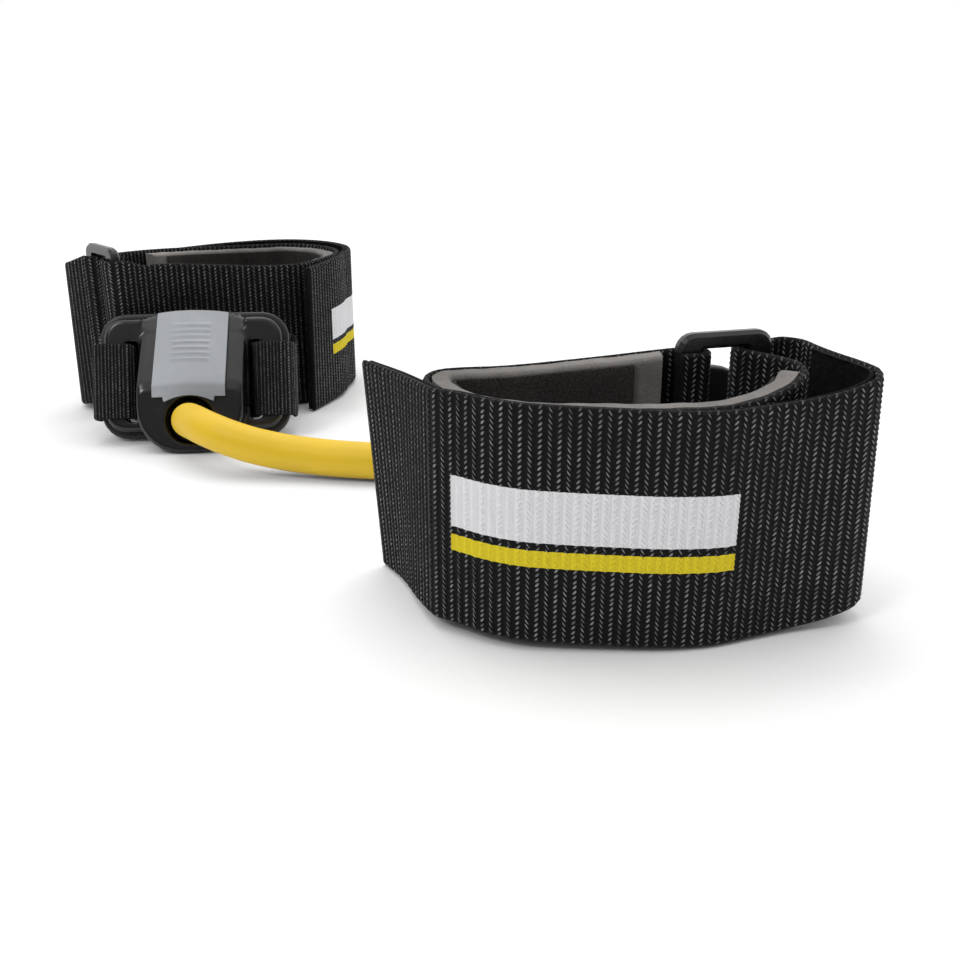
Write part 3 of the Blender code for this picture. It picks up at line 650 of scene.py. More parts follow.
class Graph:
    """Short calls that add nodes to one node tree."""

    def __init__(self, tree):
        self.tree = tree

    def add(self, kind, **settings):
        """A new node with its settings."""
        node = self.tree.nodes.new(kind)
        for key, value in settings.items():
            setattr(node, key, value)
        return node

    def feed(self, socket, value):
        """Links a node's output to a socket, or sets the socket to a plain value."""
        if isinstance(value, bpy.types.NodeSocket):
            self.tree.links.new(value, socket)
        elif value is not None:
            socket.default_value = value

    def math(self, operation, first, second=None, third=None, clamp=False):
        """The result of a Math node."""
        node = self.add("ShaderNodeMath", operation=operation, use_clamp=clamp)
        for socket, value in zip(node.inputs, (first, second, third)):
            self.feed(socket, value)
        return node.outputs[0]

    def mix(self, share, first, second, blend="MIX"):
        """A colour between two colours, or blended from them in another way."""
        node = self.add("ShaderNodeMix", data_type="RGBA", blend_type=blend)
        self.feed(node.inputs["Factor"], share)
        self.feed(node.inputs[6], first)
        self.feed(node.inputs[7], second)
        return node.outputs[2]

    def noise(self, vector, scale, detail=3.0, roughness=0.6):
        """Cloudy values from 0 to 1."""
        node = self.add("ShaderNodeTexNoise")
        values = {"Vector": vector, "Scale": scale, "Detail": detail, "Roughness": roughness}
        for label, value in values.items():
            self.feed(node.inputs[label], value)
        return node.outputs["Fac"]

    def spread(self, value, low, high, to_low=0.0, to_high=1.0):
        """A value moved from one range to another, and kept inside it."""
        node = self.add("ShaderNodeMapRange", clamp=True)
        for socket, number in zip(node.inputs, (value, low, high, to_low, to_high)):
            self.feed(socket, number)
        return node.outputs[0]

    def place(self):
        """Position on the piece, in metres."""
        return self.add("ShaderNodeTexCoord").outputs["Object"]

    def distances(self):
        """Distances along and across a strap, in centimetres."""
        parts = self.add("ShaderNodeSeparateXYZ")
        self.feed(parts.inputs[0], self.add("ShaderNodeUVMap", uv_map="Distances").outputs[0])
        return parts.outputs[0], parts.outputs[1]

    def scaled(self, colour, share):
        """A plain colour made darker or paler by a varying share."""
        grey = self.add("ShaderNodeCombineColor")
        for socket in grey.inputs:
            self.feed(socket, share)
        return self.mix(1.0, (*colour, 1.0), grey.outputs[0], blend="MULTIPLY")

    def bump(self, normal, height, strength, distance):
        """Raises the surface under a shader's Normal socket by up to a distance in metres."""
        node = self.add("ShaderNodeBump")
        self.feed(node.inputs["Strength"], strength)
        self.feed(node.inputs["Distance"], distance)
        self.feed(node.inputs["Height"], height)
        self.feed(normal, node.outputs[0])


def new_group(name, inputs, outputs):
    """An empty shader node group with named number sockets, and a graph to fill it."""
    tree = bpy.data.node_groups.new(name, "ShaderNodeTree")
    for label, value in inputs.items():
        socket = tree.interface.new_socket(label, in_out="INPUT", socket_type="NodeSocketFloat")
        socket.default_value = value
    for label in outputs:
        tree.interface.new_socket(label, in_out="OUTPUT", socket_type="NodeSocketFloat")
    graph = Graph(tree)
    return graph, graph.add("NodeGroupInput").outputs, graph.add("NodeGroupOutput").inputs


def weave_group():
    """Plain weave seen close: short slanting yarns in columns, with sunk gaps between.

    Even columns slant steeply and odd ones the other way. Lengths are in centimetres. Yarn gives
    each raised yarn's painted highlight.
    """
    graph, given, made = new_group(
        "Plain weave",
        {"Column Pitch": 0.186, "Knot Pitch": 0.112, "Steep Slant": 2.1,
         "Shallow Slant": -1.35, "Width": 5.0},
        ("Height", "Yarn"))
    along, across = graph.distances()
    column = graph.math("DIVIDE", along, given["Column Pitch"])
    number = graph.math("FLOOR", column)
    odd = graph.math("MODULO", number, 2.0)
    side = graph.math("SUBTRACT", graph.math("FRACT", column), 0.5)
    change = graph.math("SUBTRACT", given["Shallow Slant"], given["Steep Slant"])
    lean = graph.math("MULTIPLY_ADD", odd, change, given["Steep Slant"])
    row = graph.math("DIVIDE", across, given["Knot Pitch"])
    row = graph.math("MULTIPLY_ADD", odd, -0.5, row)
    row = graph.math("ADD", graph.math("MULTIPLY_ADD", side, lean, row), 0.5)
    which = graph.add("ShaderNodeCombineXYZ")
    graph.feed(which.inputs[0], number)
    graph.feed(which.inputs[1], graph.math("FLOOR", row))
    chance = graph.add("ShaderNodeTexWhiteNoise", noise_dimensions="2D")
    graph.feed(chance.inputs["Vector"], which.outputs[0])
    shift = graph.spread(chance.outputs["Value"], 0.0, 1.0, -0.08, 0.08)
    up = graph.math("SUBTRACT", graph.math("FRACT", row), graph.math("ADD", shift, 0.5))
    wide = graph.math("POWER", graph.math("MULTIPLY", side, YARN_NARROWING), 2.0)
    thin = graph.math("MULTIPLY_ADD", odd, ODD_THINNING, YARN_THINNING)
    tall = graph.math("POWER", graph.math("MULTIPLY", up, thin), 2.0)
    crown = graph.math("SUBTRACT", 1.0, graph.math("ADD", wide, tall), clamp=True)
    yarn = graph.math("SQRT", crown)
    # Painted highlight on each raised yarn, varied at random per knot and fading towards the
    # strap's edges
    highlit = graph.spread(chance.outputs["Color"], 0.0, 1.0, 0.45, 1.2)
    edge = graph.math("MINIMUM", across, graph.math("SUBTRACT", given["Width"], across))
    highlit = graph.math("MULTIPLY", highlit, graph.spread(edge, 0.0, 0.05, 0.3, 1.0))
    slope = graph.math("POWER", graph.math("MULTIPLY", side, 2.0), 2.0)
    rib = graph.math("SUBTRACT", 1.0, slope)
    graph.feed(made["Height"], graph.math("MULTIPLY_ADD", rib, 0.6, yarn))
    graph.feed(made["Yarn"], graph.math("MULTIPLY", yarn, highlit))
    return graph.tree


def lint_group():
    """Pale specks of dust and lint, and the slow change of shade over cloth."""
    graph, given, made = new_group(
        "Lint and shade", {"Speck Scale": 900.0, "Amount": 0.3}, ("Lint", "Shade"))
    place = graph.place()
    fine = graph.noise(place, given["Speck Scale"], detail=2.0, roughness=0.7)
    slow = graph.noise(place, scale=45.0)
    speck = graph.spread(fine, 0.66, 0.8)
    graph.feed(made["Lint"], graph.math("MULTIPLY", speck, given["Amount"]))
    graph.feed(made["Shade"], graph.spread(slow, 0.3, 0.7, 0.6, 1.3))
    return graph.tree


def moulding_group():
    """Fine grain of moulded plastic, with faint handling marks."""
    graph, given, made = new_group(
        "Moulded grain", {"Grain Scale": 1600.0, "Roughness": 0.3, "Wear": 0.1},
        ("Height", "Roughness", "Wear"))
    place = graph.place()
    grain = graph.noise(place, given["Grain Scale"], detail=2.0)
    smear = graph.noise(place, scale=70.0, detail=4.0, roughness=0.7)
    marks = graph.spread(smear, 0.45, 0.75)
    graph.feed(made["Height"], grain)
    graph.feed(made["Roughness"],
               graph.math("MULTIPLY_ADD", marks, given["Wear"], given["Roughness"]))
    graph.feed(made["Wear"], graph.math("MULTIPLY", marks, given["Wear"]))
    return graph.tree


def new_material(name, roughness=0.8, specular=0.5):
    """A material with its Principled shader, and a graph to fill it."""
    material = bpy.data.materials.new(name)
    material.use_nodes = True
    shader = material.node_tree.nodes["Principled BSDF"]
    shader.inputs["Roughness"].default_value = roughness
    shader.inputs["Specular IOR Level"].default_value = specular
    return material, shader.inputs, Graph(material.node_tree)


def place_group(graph, name, build, **values):
    """Outputs of a shader node group placed in a material, built the first time."""
    tree = bpy.data.node_groups.get(name) or build()
    node = graph.add("ShaderNodeGroup", node_tree=tree)
    for label, value in values.items():
        graph.feed(node.inputs[label.replace("_", " ")], value)
    return node.outputs


def webbing_material(name, columns, knots, width, stripes=None):
    """Woven webbing; stripes gives the printed stripes' start and end along the strap."""
    material, sockets, graph = new_material(name, 0.7, 0.12)
    weave = place_group(graph, "Plain weave", weave_group, Column_Pitch=columns * 100.0,
                        Knot_Pitch=knots * 100.0, Width=0.1 * width)
    cloth = place_group(graph, "Lint and shade", lint_group, Speck_Scale=1500.0, Amount=0.35)
    fibre = graph.noise(graph.place(), scale=5000.0, detail=2.0)
    # Painted highlight: raised yarns are painted paler than the dark gaps, varied by slow shade
    # and fibre noise
    yarn = graph.math("POWER", weave["Yarn"], 1.3)
    yarn = graph.math("MULTIPLY", yarn, cloth["Shade"])
    yarn = graph.math("MULTIPLY", yarn, graph.spread(fibre, 0.3, 0.7, 0.55, 1.25))
    colour = graph.mix(yarn, (*colours().webbing, 1.0), (*colours().knots, 1.0))
    colour = graph.mix(cloth["Lint"], colour, PALE_LINT)
    if stripes:
        along, across = graph.distances()
        first, last = (value * 0.1 for value in stripes)
        inside = graph.math("COMPARE", along, 0.5 * (first + last), 0.5 * (last - first))
        sheen = graph.spread(weave["Height"], 0.0, 1.0, 0.9, 1.0)
        for ink, middle, half in STRIPE_BARS:
            bar = graph.math("COMPARE", across, middle, half)
            painted = graph.scaled(getattr(colours(), ink), sheen)
            colour = graph.mix(graph.math("MULTIPLY", inside, bar), colour, painted)
    graph.feed(sockets["Base Color"], colour)
    height = graph.math("MULTIPLY_ADD", fibre, 0.25, weave["Height"])
    graph.bump(sockets["Normal"], height, strength=0.85, distance=0.00045)
    return material


def foam_material():
    """Cut closed-cell foam with small open cells."""
    material, sockets, graph = new_material("Cut foam", 0.9, 0.3)
    cloth = place_group(graph, "Lint and shade", lint_group, Speck_Scale=700.0, Amount=0.2)
    cells = graph.add("ShaderNodeTexVoronoi")
    graph.feed(cells.inputs["Vector"], graph.place())
    graph.feed(cells.inputs["Scale"], 2600.0)
    pores = graph.spread(cells.outputs["Distance"], 0.1, 0.6)
    # The pores are painted darker than the foam between them: painted shade in the open cells
    share = graph.math("MULTIPLY", cloth["Shade"], graph.spread(pores, 0.0, 1.0, 0.82, 1.05))
    graph.feed(sockets["Base Color"], graph.scaled(colours().foam, share))
    graph.bump(sockets["Normal"], pores, strength=0.4, distance=0.0002)
    return material


def pile_material(name, scale, fuzz, colour):
    """Matted loops and hooks, or brushed lining, with stray pale fibres."""
    material, sockets, graph = new_material(name, 0.95, 0.15)
    cloth = place_group(graph, "Lint and shade", lint_group, Speck_Scale=scale, Amount=fuzz)
    loops = graph.noise(graph.place(), scale, detail=4.0, roughness=0.75)
    # Painted shade: the noise that raises the bump also paints the raised pile paler and its
    # hollows darker, on top of the slow random shade
    share = graph.math("MULTIPLY", cloth["Shade"], graph.spread(loops, 0.35, 0.7, 0.4, 1.8))
    shaded_pile = graph.scaled(colour, share)
    graph.feed(sockets["Base Color"], graph.mix(cloth["Lint"], shaded_pile, PILE_LINT))
    graph.bump(sockets["Normal"], loops, strength=0.9, distance=0.0004)
    return material


def moulded_material(name, colour, roughness, grain, wear, specular=0.5):
    """Moulded plastic in one colour, from satin to gloss, with fine grain and wear."""
    material, sockets, graph = new_material(name, roughness, specular)
    mould = place_group(graph, "Moulded grain", moulding_group, Grain_Scale=2200.0,
                        Roughness=roughness, Wear=wear)
    share = graph.math("ADD", 0.95, graph.math("MULTIPLY", mould["Wear"], 1.2))
    graph.feed(sockets["Base Color"], graph.scaled(colour, share))
    graph.feed(sockets["Roughness"], mould["Roughness"])
    graph.bump(sockets["Normal"], mould["Height"], strength=grain, distance=0.0001)
    return material


def tube_material():
    """Smooth drawn latex with a faint bloom, whose bounce on the floor is nearly grey."""
    material, sockets, graph = new_material("Yellow latex", 0.45, 0.4)
    cloth = place_group(graph, "Lint and shade", lint_group, Speck_Scale=1200.0, Amount=0.06)
    place = graph.place()
    slow = graph.noise(place, scale=60.0, detail=2.0)
    latex = graph.scaled(colours().tube, graph.spread(slow, 0.3, 0.7, 0.95, 1.04))
    colour = graph.mix(cloth["Lint"], latex, TUBE_BLOOM)
    bounced = graph.add("ShaderNodeLightPath").outputs["Is Diffuse Ray"]
    graph.feed(sockets["Base Color"], graph.mix(bounced, colour, TUBE_BOUNCE))
    graph.feed(sockets["Roughness"], graph.spread(slow, 0.3, 0.7, 0.42, 0.52))
    ripple = graph.noise(place, scale=900.0, detail=2.0)
    graph.bump(sockets["Normal"], ripple, strength=0.15, distance=0.0001)
    return material


def floor_material():
    """Matt white card with the faintest change of shade."""
    material, sockets, graph = new_material("Pale floor", 1.0, 0.0)
    cloud = graph.noise(graph.place(), scale=3.0, detail=2.0)
    share = graph.spread(cloud, 0.3, 0.7, 0.995, 1.0)
    graph.feed(sockets["Base Color"], graph.scaled(colours().floor, share))
    return material


# Pieces


def dress_straps(side, cuff):
    """Base strap and tail of one cuff; the tail is measured from its free end."""
    base, tail, joint = cuff_routes(cuff)
    pitches = (sizes().column_pitch, sizes().knot_pitch)
    plain = webbing_material(side + " webbing", *pitches, WEB_WIDTH)
    strap = woven_strap(side + "_woven_base", base, plain)
    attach(strap, side + "_cuff")
    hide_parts(side + "_base_strap")
    printed = webbing_material(side + " printed webbing", *pitches, WEB_WIDTH, cuff["stripes"])
    strap = woven_strap(side + "_woven_tail", tail[::-1], printed, cuff)
    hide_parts(side + "_tail_strap", side + "_tail_end")
    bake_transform(strap)


def dress_fastening(side, cuff):
    """Hook patch on the base strap and loop patch inside the tail."""
    base, tail, joint = cuff_routes(cuff)
    hooks = pile_material(side + " hooks", scale=1300.0, fuzz=0.35, colour=colours().pile)
    loops = pile_material(side + " loops", scale=900.0, fuzz=0.6, colour=colours().pile)
    patch = pile_layer(side + "_hooks", between(base, cuff["hook"]), HOOK_THICK, 0.0, hooks,
                       seed=3)
    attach(patch, side + "_cuff")
    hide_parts(side + "_hook_patch")
    held = tail[nearest(tail, cuff["loop_from"]):]
    patch = pile_layer(side + "_loops", held, LOOP_THICK, LOOP_SPREAD, loops, seed=5,
                       cuff=cuff)
    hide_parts(side + "_loop_patch", side + "_tail_loop_patch")
    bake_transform(patch)


def pad_route(stretch):
    """Evenly spaced points along a stretch of the base strap, trimmed at the ring."""
    return (rows[PAD_TRIM:] for rows in smooth_route(stretch, PAD_STEP))


def dress_pad(side, cuff):
    """Foam pad with eased edges and a low crown, and its brushed lining."""
    pad = between(cuff_routes(cuff)[0], cuff["pad"])
    inner = 0.5 * WEB_THICK + GAP
    foam = inner + FOAM_THICK
    even, normals, marks = pad_route(pad)
    loops, heights = layer_loops(
        even, normals, inner, foam, FOAM_LOW, FOAM_LOW + FOAM_HEIGHT + cuff["pad_rise"],
        edge=FOAM_EDGE, crown=0.25, rows=PAD_ROWS)[:2]
    wave = CUT_WAVE * sum(np.sin(marks * pace + start) for pace, start in CUT_WAVES)
    loops[..., 2] += wave[:, None] * (heights > 0.5 * FOAM_HEIGHT)[None, :]
    mesh = grid_mesh(side + "_foam", loops, heights, marks)
    piece = add_piece(side + "_foam", mesh, foam_material())
    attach(piece, side + "_cuff")
    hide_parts(side + "_foam_pad")
    even, normals, marks = pad_route(pad[1:-1])
    loops, heights = layer_loops(
        even, normals, foam + 0.5 * GAP, foam + GAP + LINING_THICK, LINING_LOW,
        cuff["lining_top"], edge=0.3, steps=3, crown=0.1, rows=PAD_ROWS)[:2]
    mesh = grid_mesh(side + "_lining", loops, heights, marks)
    brushed = pile_material(side + " lining", scale=2400.0, fuzz=0.12, colour=colours().lining)
    piece = add_piece(side + "_lining", mesh, brushed)
    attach(piece, side + "_cuff")
    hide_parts(side + "_pad_lining")


def connector_matrix(cuff):
    """Matrix of the connector's own frame in millimetres: width, depth to the wall, height."""
    x, y, z, yaw = cuff["foot"]
    turn = Matrix.Rotation(math.radians(yaw), 4, "Z") @ Matrix.Rotation(-cuff["lean"], 4, "X")
    return Matrix.Translation(Vector((x, y, z))) @ turn


def band_edges(cuff, base):
    """Lower and upper edges of the band: on the wall, round the wings, through the slots."""
    placed = connector_matrix(cuff)
    inward = placed.to_3x3() @ Vector((0.0, 1.0, 0.0))
    inward = Vector((inward.x, inward.y, 0.0)).normalized()
    sway = 0.5 * BAND_WIDTH * math.sin(cuff["lean"])
    low = cuff["band_low"]
    edges = []

    def on_floor(x, y, share):
        """Edges at a place on the floor, with a share of the connector's lean."""
        shift = inward * sway * share
        edges.append((Vector((x, y, low)) - shift, Vector((x, y, low + BAND_WIDTH)) + shift))

    def on_plate(across, depth):
        """Edges at a place in the connector's own frame."""
        lower = placed @ Vector((across, depth, BAND_LOW))
        edges.append((lower, placed @ Vector((across, depth, BAND_LOW + BAND_WIDTH))))

    sewn = between(base, cuff["sewn"])
    first = Vector(cuff["sewn"][0])
    if (sewn[0][0] - first).length < (sewn[-1][0] - first).length:
        sewn = sewn[::-1]
    for spot, normal, lift in sewn:
        beside = spot - normal * (WEB_THICK + GAP)
        on_floor(beside.x, beside.y, 0.0)
    near_side, far_side = cuff["band_sides"]
    for (x, y), share in zip(near_side, BAND_SWAY):
        on_floor(x, y, share)
    for across, depth in BAND_WRAP:
        on_plate(-across, depth)
    on_plate(0.0, BAND_BEHIND)
    for across, depth in BAND_WRAP[::-1]:
        on_plate(across, depth)
    for (x, y), share in zip(far_side[::-1], BAND_SWAY[::-1]):
        on_floor(x, y, share)
    return edges


def band_rails(edges, step):
    """The band's two edges at evenly spaced points round its loop, and the distances."""
    lower, upper = (np.array([tuple(pair[which]) for pair in edges]) for which in (0, 1))
    middle = 0.5 * (lower + upper)
    runs = np.linalg.norm(np.diff(np.concatenate([middle, middle[:1]]), axis=0), axis=1)
    reached = np.concatenate([[0.0], np.cumsum(runs)])
    count = int(reached[-1] / step / COLUMN_POINTS) * COLUMN_POINTS
    marks = np.linspace(0.0, reached[-1], count, endpoint=False)
    rails = []
    for rail in (lower, upper):
        ring = np.concatenate([rail, rail[:1]])
        rails.append(np.stack([np.interp(marks, reached, line) for line in ring.T], axis=1))
    return rails, marks


def dress_band(side, cuff):
    """Woven band from the cuff's wall through the connector's slots."""
    size = sizes()
    edges = band_edges(cuff, cuff_routes(cuff)[0])
    rails, marks = band_rails(edges, size.band_column_pitch / MM / COLUMN_POINTS)
    both = rails[0] + rails[1]
    ways = np.roll(both, -1, axis=0) - np.roll(both, 1, axis=0)
    for turn in range(2):
        ways = ways + np.roll(ways, 1, axis=0) + np.roll(ways, -1, axis=0)
    rises = rails[1] - rails[0]
    outs = np.cross(ways, rises)
    outs /= np.linalg.norm(outs, axis=1)[:, None]
    count = int(round(BAND_WIDTH / (0.5 * size.band_knot_pitch / MM)))
    rows = np.arange(count + 1)
    share = rows / count
    relief = 0.6 * size.relief / MM
    raised = weave_height(np.arange(len(marks)), rows, relief)
    body = 0.5 * WEB_THICK - 0.8 * relief
    thin = selvedge(share * BAND_WIDTH, BAND_WIDTH, softness=0.6)
    half = body * thin[None, :] + raised
    faces = []
    for sign in (1.0, -1.0):
        face = rails[0][:, None, :] + share[None, :, None] * rises[:, None, :]
        faces.append(face + sign * half[..., None] * outs[:, None, :])
    loops = np.concatenate([faces[0], faces[1][:, ::-1]], axis=1)
    across = np.concatenate([share, share[::-1]]) * BAND_WIDTH
    mesh = grid_mesh(side + "_woven_band", loops, across, marks, closed=True)
    material = webbing_material(side + " band webbing", size.band_column_pitch,
                                size.band_knot_pitch, BAND_WIDTH)
    band = add_piece(side + "_woven_band", mesh, material)
    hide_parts(side + "_connector_band")
    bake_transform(band)


def cap_rows():
    """Rows of the cap's underside: depth and height, outward way, crown, and place on the slope.

    They run down the slope and turn over its front edge; the last way is straight forward.
    """
    slope = Vector((PLATE_FRONT - GAP, PLATE_TOP - GAP - BODY_FRONT_TOP))
    along = slope.normalized()
    out = Vector((-along.y, along.x))
    front = Vector((-1.0, 0.0))
    corner = Vector((-GAP, BODY_FRONT_TOP + 0.1))
    upper = Vector((0.0, BODY_FRONT_TOP)) + out * GAP
    top, foot = CAP_SLOPE
    rows = []
    for step in range(CAP_SLOPE_ROWS + 1):
        at = step / CAP_SLOPE_ROWS
        rows.append((upper + slope * (top + (foot - top) * at), out, 1.0, at))
    last = upper + slope * foot
    rows.append((corner + (last - corner) * 0.45, (out * 2 + front).normalized(), 0.95, 1.0))
    rows.append((corner, (out + front).normalized(), 0.85, 1.0))
    rows.append((corner - Vector((0.0, 0.5)), (front * 2 + out).normalized(), 0.72, 1.0))
    rows.append((corner - Vector((0.0, 1.1)), front, 0.6, 1.0))
    return rows, front


def ridge_height(across, at):
    """Height of the cap's grip ridges at a place across it and a share of its slope."""
    inset = RIDGE_HALF - abs(across)
    if inset <= 0.0 or not RIDGE_FROM < at < RIDGE_FROM + RIDGE_SPAN:
        return 0.0
    wave = math.sin(math.tau * (at - RIDGE_FROM) / RIDGE_PITCH)
    return RIDGE_HEIGHT * max(0.0, wave) ** 0.5 * min(1.0, inset / RIDGE_ENDS)


def dress_cap(side, cuff):
    """Grey cap with grip ridges and a rounded lip over the bore."""
    rows, front = cap_rows()
    half = 0.5 * CAP_WIDTH
    arch_sides = [-CAP_ARCH_HALF - 0.05, CAP_ARCH_HALF + 0.05]
    places = np.sort(np.concatenate([np.linspace(-half, half, CAP_COLUMNS), arch_sides]))
    loops = []
    for place in places:
        crown = 1.0 - (place / half) ** 2
        low = CAP_TAB_LOW
        if abs(place) <= CAP_ARCH_HALF:
            low = CAP_ARCH_TOP - CAP_ARCH_DROP * (place / CAP_ARCH_HALF) ** 2
        under = []
        over = []
        for base, way, share, at in rows + [(Vector((-GAP, low)), front, 0.45, 1.0)]:
            height = CAP_EDGE + CAP_CROWN * crown * share + ridge_height(place, at)
            rise = base + way * height
            under.append((place, base.x, base.y))
            over.append((place, rise.x, rise.y))
        loops.append(under + over[::-1])
    placed = np.array(connector_matrix(cuff))
    loops = np.array(loops) @ placed[:3, :3].T + placed[:3, 3]
    mesh = grid_mesh(side + "_ridged_cap", loops, angle=50.0)
    material = moulded_material(side + " grey cap", colours().cap, roughness=0.42,
                                grain=0.25, wear=0.12)
    piece = add_piece(side + "_ridged_cap", mesh, material)
    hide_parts(side + "_cap")
    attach(piece, side + "_connector")


def dress_connector(side, cuff):
    """Housing, back plate, collar and plug of one connector."""
    gloss = moulded_material(side + " gloss housing", colours().shell, roughness=0.2,
                             grain=0.08, wear=0.12)
    satin = moulded_material(side + " satin plate", colours().shell, roughness=0.34,
                             grain=0.12, wear=0.15)
    piece = finished_copy(side + "_eased_housing", side + "_housing", gloss,
                          eased)
    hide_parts(side + "_housing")
    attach(piece, side + "_connector")
    piece = finished_copy(side + "_eased_plate", side + "_back_plate", satin,
                          eased)
    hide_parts(side + "_back_plate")
    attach(piece, side + "_connector")
    rubber = moulded_material(side + " plug rubber", PLUG_RUBBER, roughness=0.6,
                              grain=0.3, wear=0.1, specular=0.3)
    for node, material in (("_collar", satin), ("_tube_plug", rubber)):
        item = NODES[side + node]
        item.data.materials.clear()
        item.data.materials.append(material)


def dress_ring(side):
    """Flat slip ring with crisp edges."""
    satin = moulded_material(side + " slip ring", colours().ring, roughness=0.26,
                             grain=0.2, wear=0.08)
    piece = finished_copy(side + "_eased_ring", side + "_ring", satin, bevelled)
    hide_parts(side + "_ring")
    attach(piece, side + "_ring")


def dress_tube():
    """Stretch tube, one smooth run from seat to seat."""
    ends = []
    for side, cuff in CUFFS:
        placed = connector_matrix(cuff)
        ends.append([placed @ Vector((0.0, depth, BORE_HEIGHT)) for depth in TUBE_SEAT])
    dense = catmull(ends[0] + [Vector(point) for point in TUBE_ROUTE] + ends[1][::-1],
                    TUBE_PIECES)
    centres = np.array([tuple(point) for point in dense])
    ways = np.gradient(centres, axis=0)
    ways /= np.linalg.norm(ways, axis=1)[:, None]
    side_ways = np.cross(ways, np.array([0.0, 0.0, 1.0]))
    side_ways /= np.linalg.norm(side_ways, axis=1)[:, None]
    ups = np.cross(side_ways, ways)
    count = sizes().tube_sides
    angles = np.arange(count) * math.tau / count
    ring = (np.cos(angles)[None, :, None] * side_ways[:, None, :]
            + np.sin(angles)[None, :, None] * ups[:, None, :])
    loops = centres[:, None, :] + 0.5 * TUBE_DIAMETER * ring
    mesh = grid_mesh("stretch_tube", loops)
    piece = add_piece("stretch_tube", mesh, tube_material())
    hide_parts("resistance_tube")
    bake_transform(piece)


# Stage

def build_camera():
    """Camera at the photograph's angle, above the front cuff."""
    camera = bpy.data.objects.new("Camera", bpy.data.cameras.new("Camera"))
    camera.data.lens = CAMERA_LENS
    camera.data.sensor_width = 36.0
    camera.data.clip_start = 0.01
    camera.location = CAMERA_PLACE
    camera.rotation_euler = (CAMERA_TILT, 0.0, 0.0)
    bpy.context.scene.collection.objects.link(camera)
    bpy.context.scene.camera = camera


def add_softbox(name, place, target, size, power):
    """A rectangular light aimed at a target; sizes in metres, power in watts."""
    light = bpy.data.lights.new(name, "AREA")
    light.shape = "RECTANGLE"
    light.size, light.size_y = size
    light.energy = power
    item = bpy.data.objects.new(name, light)
    item.location = place
    item.rotation_euler = (Vector(target) - Vector(place)).to_track_quat("-Z", "Y").to_euler()
    bpy.context.scene.collection.objects.link(item)


def build_stage():
    """Pale floor, soft studio light and a bright even surround."""
    mesh = bpy.data.meshes.new("Floor")
    corners = ((-1.0, -1.0), (1.0, -1.0), (1.0, 1.0), (-1.0, 1.0))
    mesh.from_pydata([(x * FLOOR_REACH, y * FLOOR_REACH, FLOOR_LEVEL) for x, y in corners],
                     [], [(0, 1, 2, 3)])
    floor = bpy.data.objects.new("Floor", mesh)
    floor.data.materials.append(floor_material())
    bpy.context.scene.collection.objects.link(floor)
    build_surround()
    bpy.context.scene.view_settings.view_transform = "Standard"
    for softbox in SOFTBOXES:
        add_softbox(*softbox)


def build_surround():
    """A white backdrop that lights the object like a studio dome, darkest in front."""
    world = bpy.data.worlds.new("Studio")
    world.use_nodes = True
    bpy.context.scene.world = world
    graph = Graph(world.node_tree)
    backdrop = world.node_tree.nodes["Background"]
    backdrop.inputs["Color"].default_value = (1.0, 1.0, 1.0, 1.0)
    dome = graph.add("ShaderNodeBackground")
    parts = graph.add("ShaderNodeSeparateXYZ")
    graph.feed(parts.inputs[0], graph.add("ShaderNodeTexCoord").outputs["Generated"])
    level = graph.spread(parts.outputs[1], *DOME_TURN, DOME_FRONT, DOME_BACK)
    height = graph.math("POWER", graph.math("MAXIMUM", parts.outputs[2], 0.0), 2.0)
    graph.feed(dome.inputs["Strength"], graph.math("MULTIPLY_ADD", height, DOME_TOP, level))
    choice = graph.add("ShaderNodeMixShader")
    graph.feed(choice.inputs[0], graph.add("ShaderNodeLightPath").outputs["Is Camera Ray"])
    graph.feed(choice.inputs[1], dome.outputs[0])
    graph.feed(choice.inputs[2], backdrop.outputs[0])
    graph.feed(world.node_tree.nodes["World Output"].inputs[0], choice.outputs[0])


# Operators

def dress_cuffs(*pieces):
    """Dresses first the left and then the right cuff in the given pieces."""
    for side, cuff in CUFFS:
        for dress in pieces:
            dress(side, cuff)


class StageOperator(bpy.types.Operator):
    """Set the camera, floor and lights"""

    bl_idname = "trainer.stage"
    bl_label = "Studio"

    def execute(self, context):
        build_camera()
        build_stage()
        return {"FINISHED"}


class TubeOperator(bpy.types.Operator):
    """Lay the stretch tube between the two connectors"""

    bl_idname = "trainer.tube"
    bl_label = "Stretch tube"

    def execute(self, context):
        dress_tube()
        return {"FINISHED"}


class StrapsOperator(bpy.types.Operator):
    """Weave the base straps and tails of both cuffs"""

    bl_idname = "trainer.straps"
    bl_label = "Straps"

    def execute(self, context):
        dress_cuffs(dress_straps)
        return {"FINISHED"}


class FasteningOperator(bpy.types.Operator):
    """Lay the hook and loop patches on the straps"""

    bl_idname = "trainer.fastening"
    bl_label = "Hook and loop"

    def execute(self, context):
        dress_cuffs(dress_fastening)
        return {"FINISHED"}


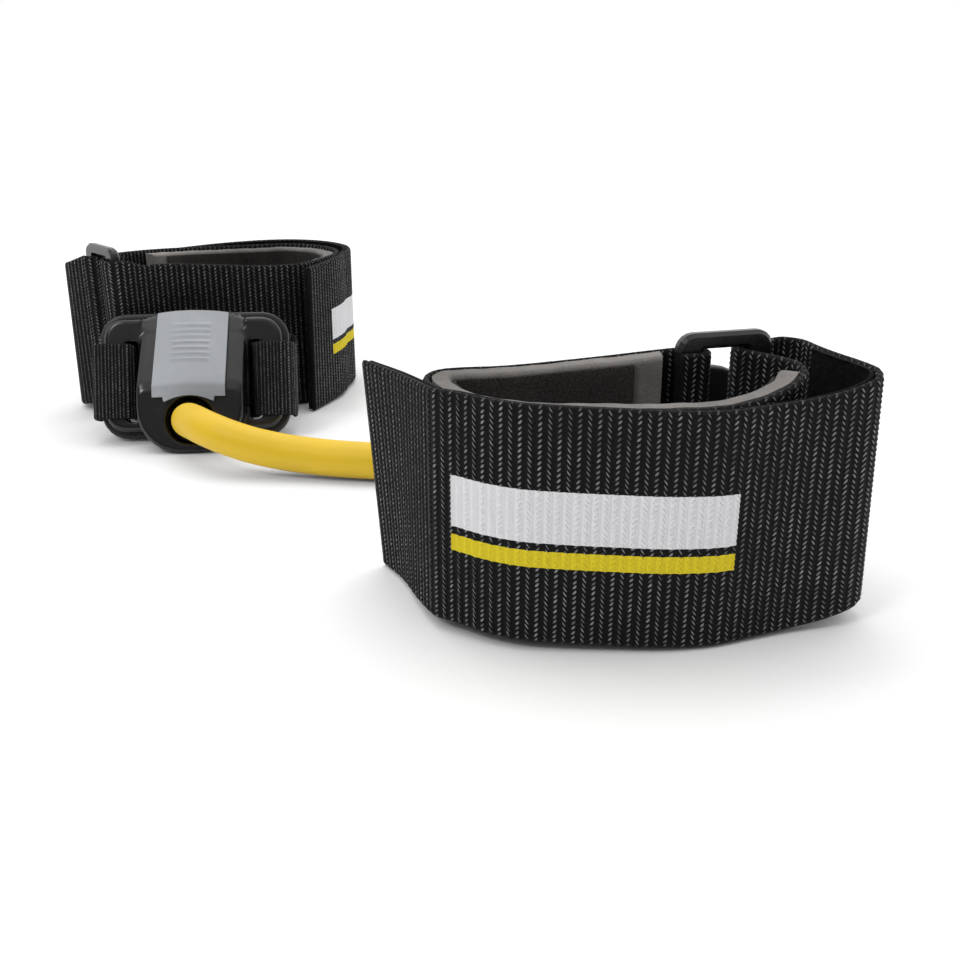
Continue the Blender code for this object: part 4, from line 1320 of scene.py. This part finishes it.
class PadsOperator(bpy.types.Operator):
    """Fit the foam pads and their linings"""

    bl_idname = "trainer.pads"
    bl_label = "Pads"

    def execute(self, context):
        dress_cuffs(dress_pad)
        return {"FINISHED"}


class BandsOperator(bpy.types.Operator):
    """Weave the narrow bands through the connectors' slots"""

    bl_idname = "trainer.bands"
    bl_label = "Connector bands"

    def execute(self, context):
        dress_cuffs(dress_band)
        return {"FINISHED"}


class ConnectorsOperator(bpy.types.Operator):
    """Mould the connectors with their plates and caps"""

    bl_idname = "trainer.connectors"
    bl_label = "Connectors"

    def execute(self, context):
        dress_cuffs(dress_connector, dress_cap)
        return {"FINISHED"}


class RingsOperator(bpy.types.Operator):
    """Mould the slip rings"""

    bl_idname = "trainer.rings"
    bl_label = "Slip rings"

    def execute(self, context):
        for side, cuff in CUFFS:
            dress_ring(side)
        return {"FINISHED"}


OPERATORS = (
    StageOperator, TubeOperator, StrapsOperator, FasteningOperator, PadsOperator,
    BandsOperator, ConnectorsOperator, RingsOperator,
)


class TrainerPanel(bpy.types.Panel):
    """Buttons and settings of the trainer"""

    bl_idname = "VIEW3D_PT_trainer"
    bl_label = "Resistance Trainer"
    bl_space_type = "VIEW_3D"
    bl_region_type = "UI"
    bl_category = "Trainer"

    def draw(self, context):
        for operator in OPERATORS:
            self.layout.operator(operator.bl_idname)
        for settings in (context.scene.trainer_sizes, context.scene.trainer_colours):
            box = self.layout.box()
            for label in settings.__annotations__:
                box.prop(settings, label)


CLASSES = (TrainerColours, TrainerSizes, *OPERATORS, TrainerPanel)


def register():
    """Adds the settings, operators and panel."""
    for item in CLASSES:
        bpy.utils.register_class(item)
    bpy.types.Scene.trainer_colours = PointerProperty(type=TrainerColours)
    bpy.types.Scene.trainer_sizes = PointerProperty(type=TrainerSizes)


def unregister():
    """Takes away what register adds."""
    del bpy.types.Scene.trainer_sizes
    del bpy.types.Scene.trainer_colours
    for item in reversed(CLASSES):
        bpy.utils.unregister_class(item)


def main():
    """Builds the whole scene."""
    register()
    for operator in OPERATORS:
        family, name = operator.bl_idname.split(".")
        getattr(getattr(bpy.ops, family), name)()


if __name__ == "__main__":
    main()
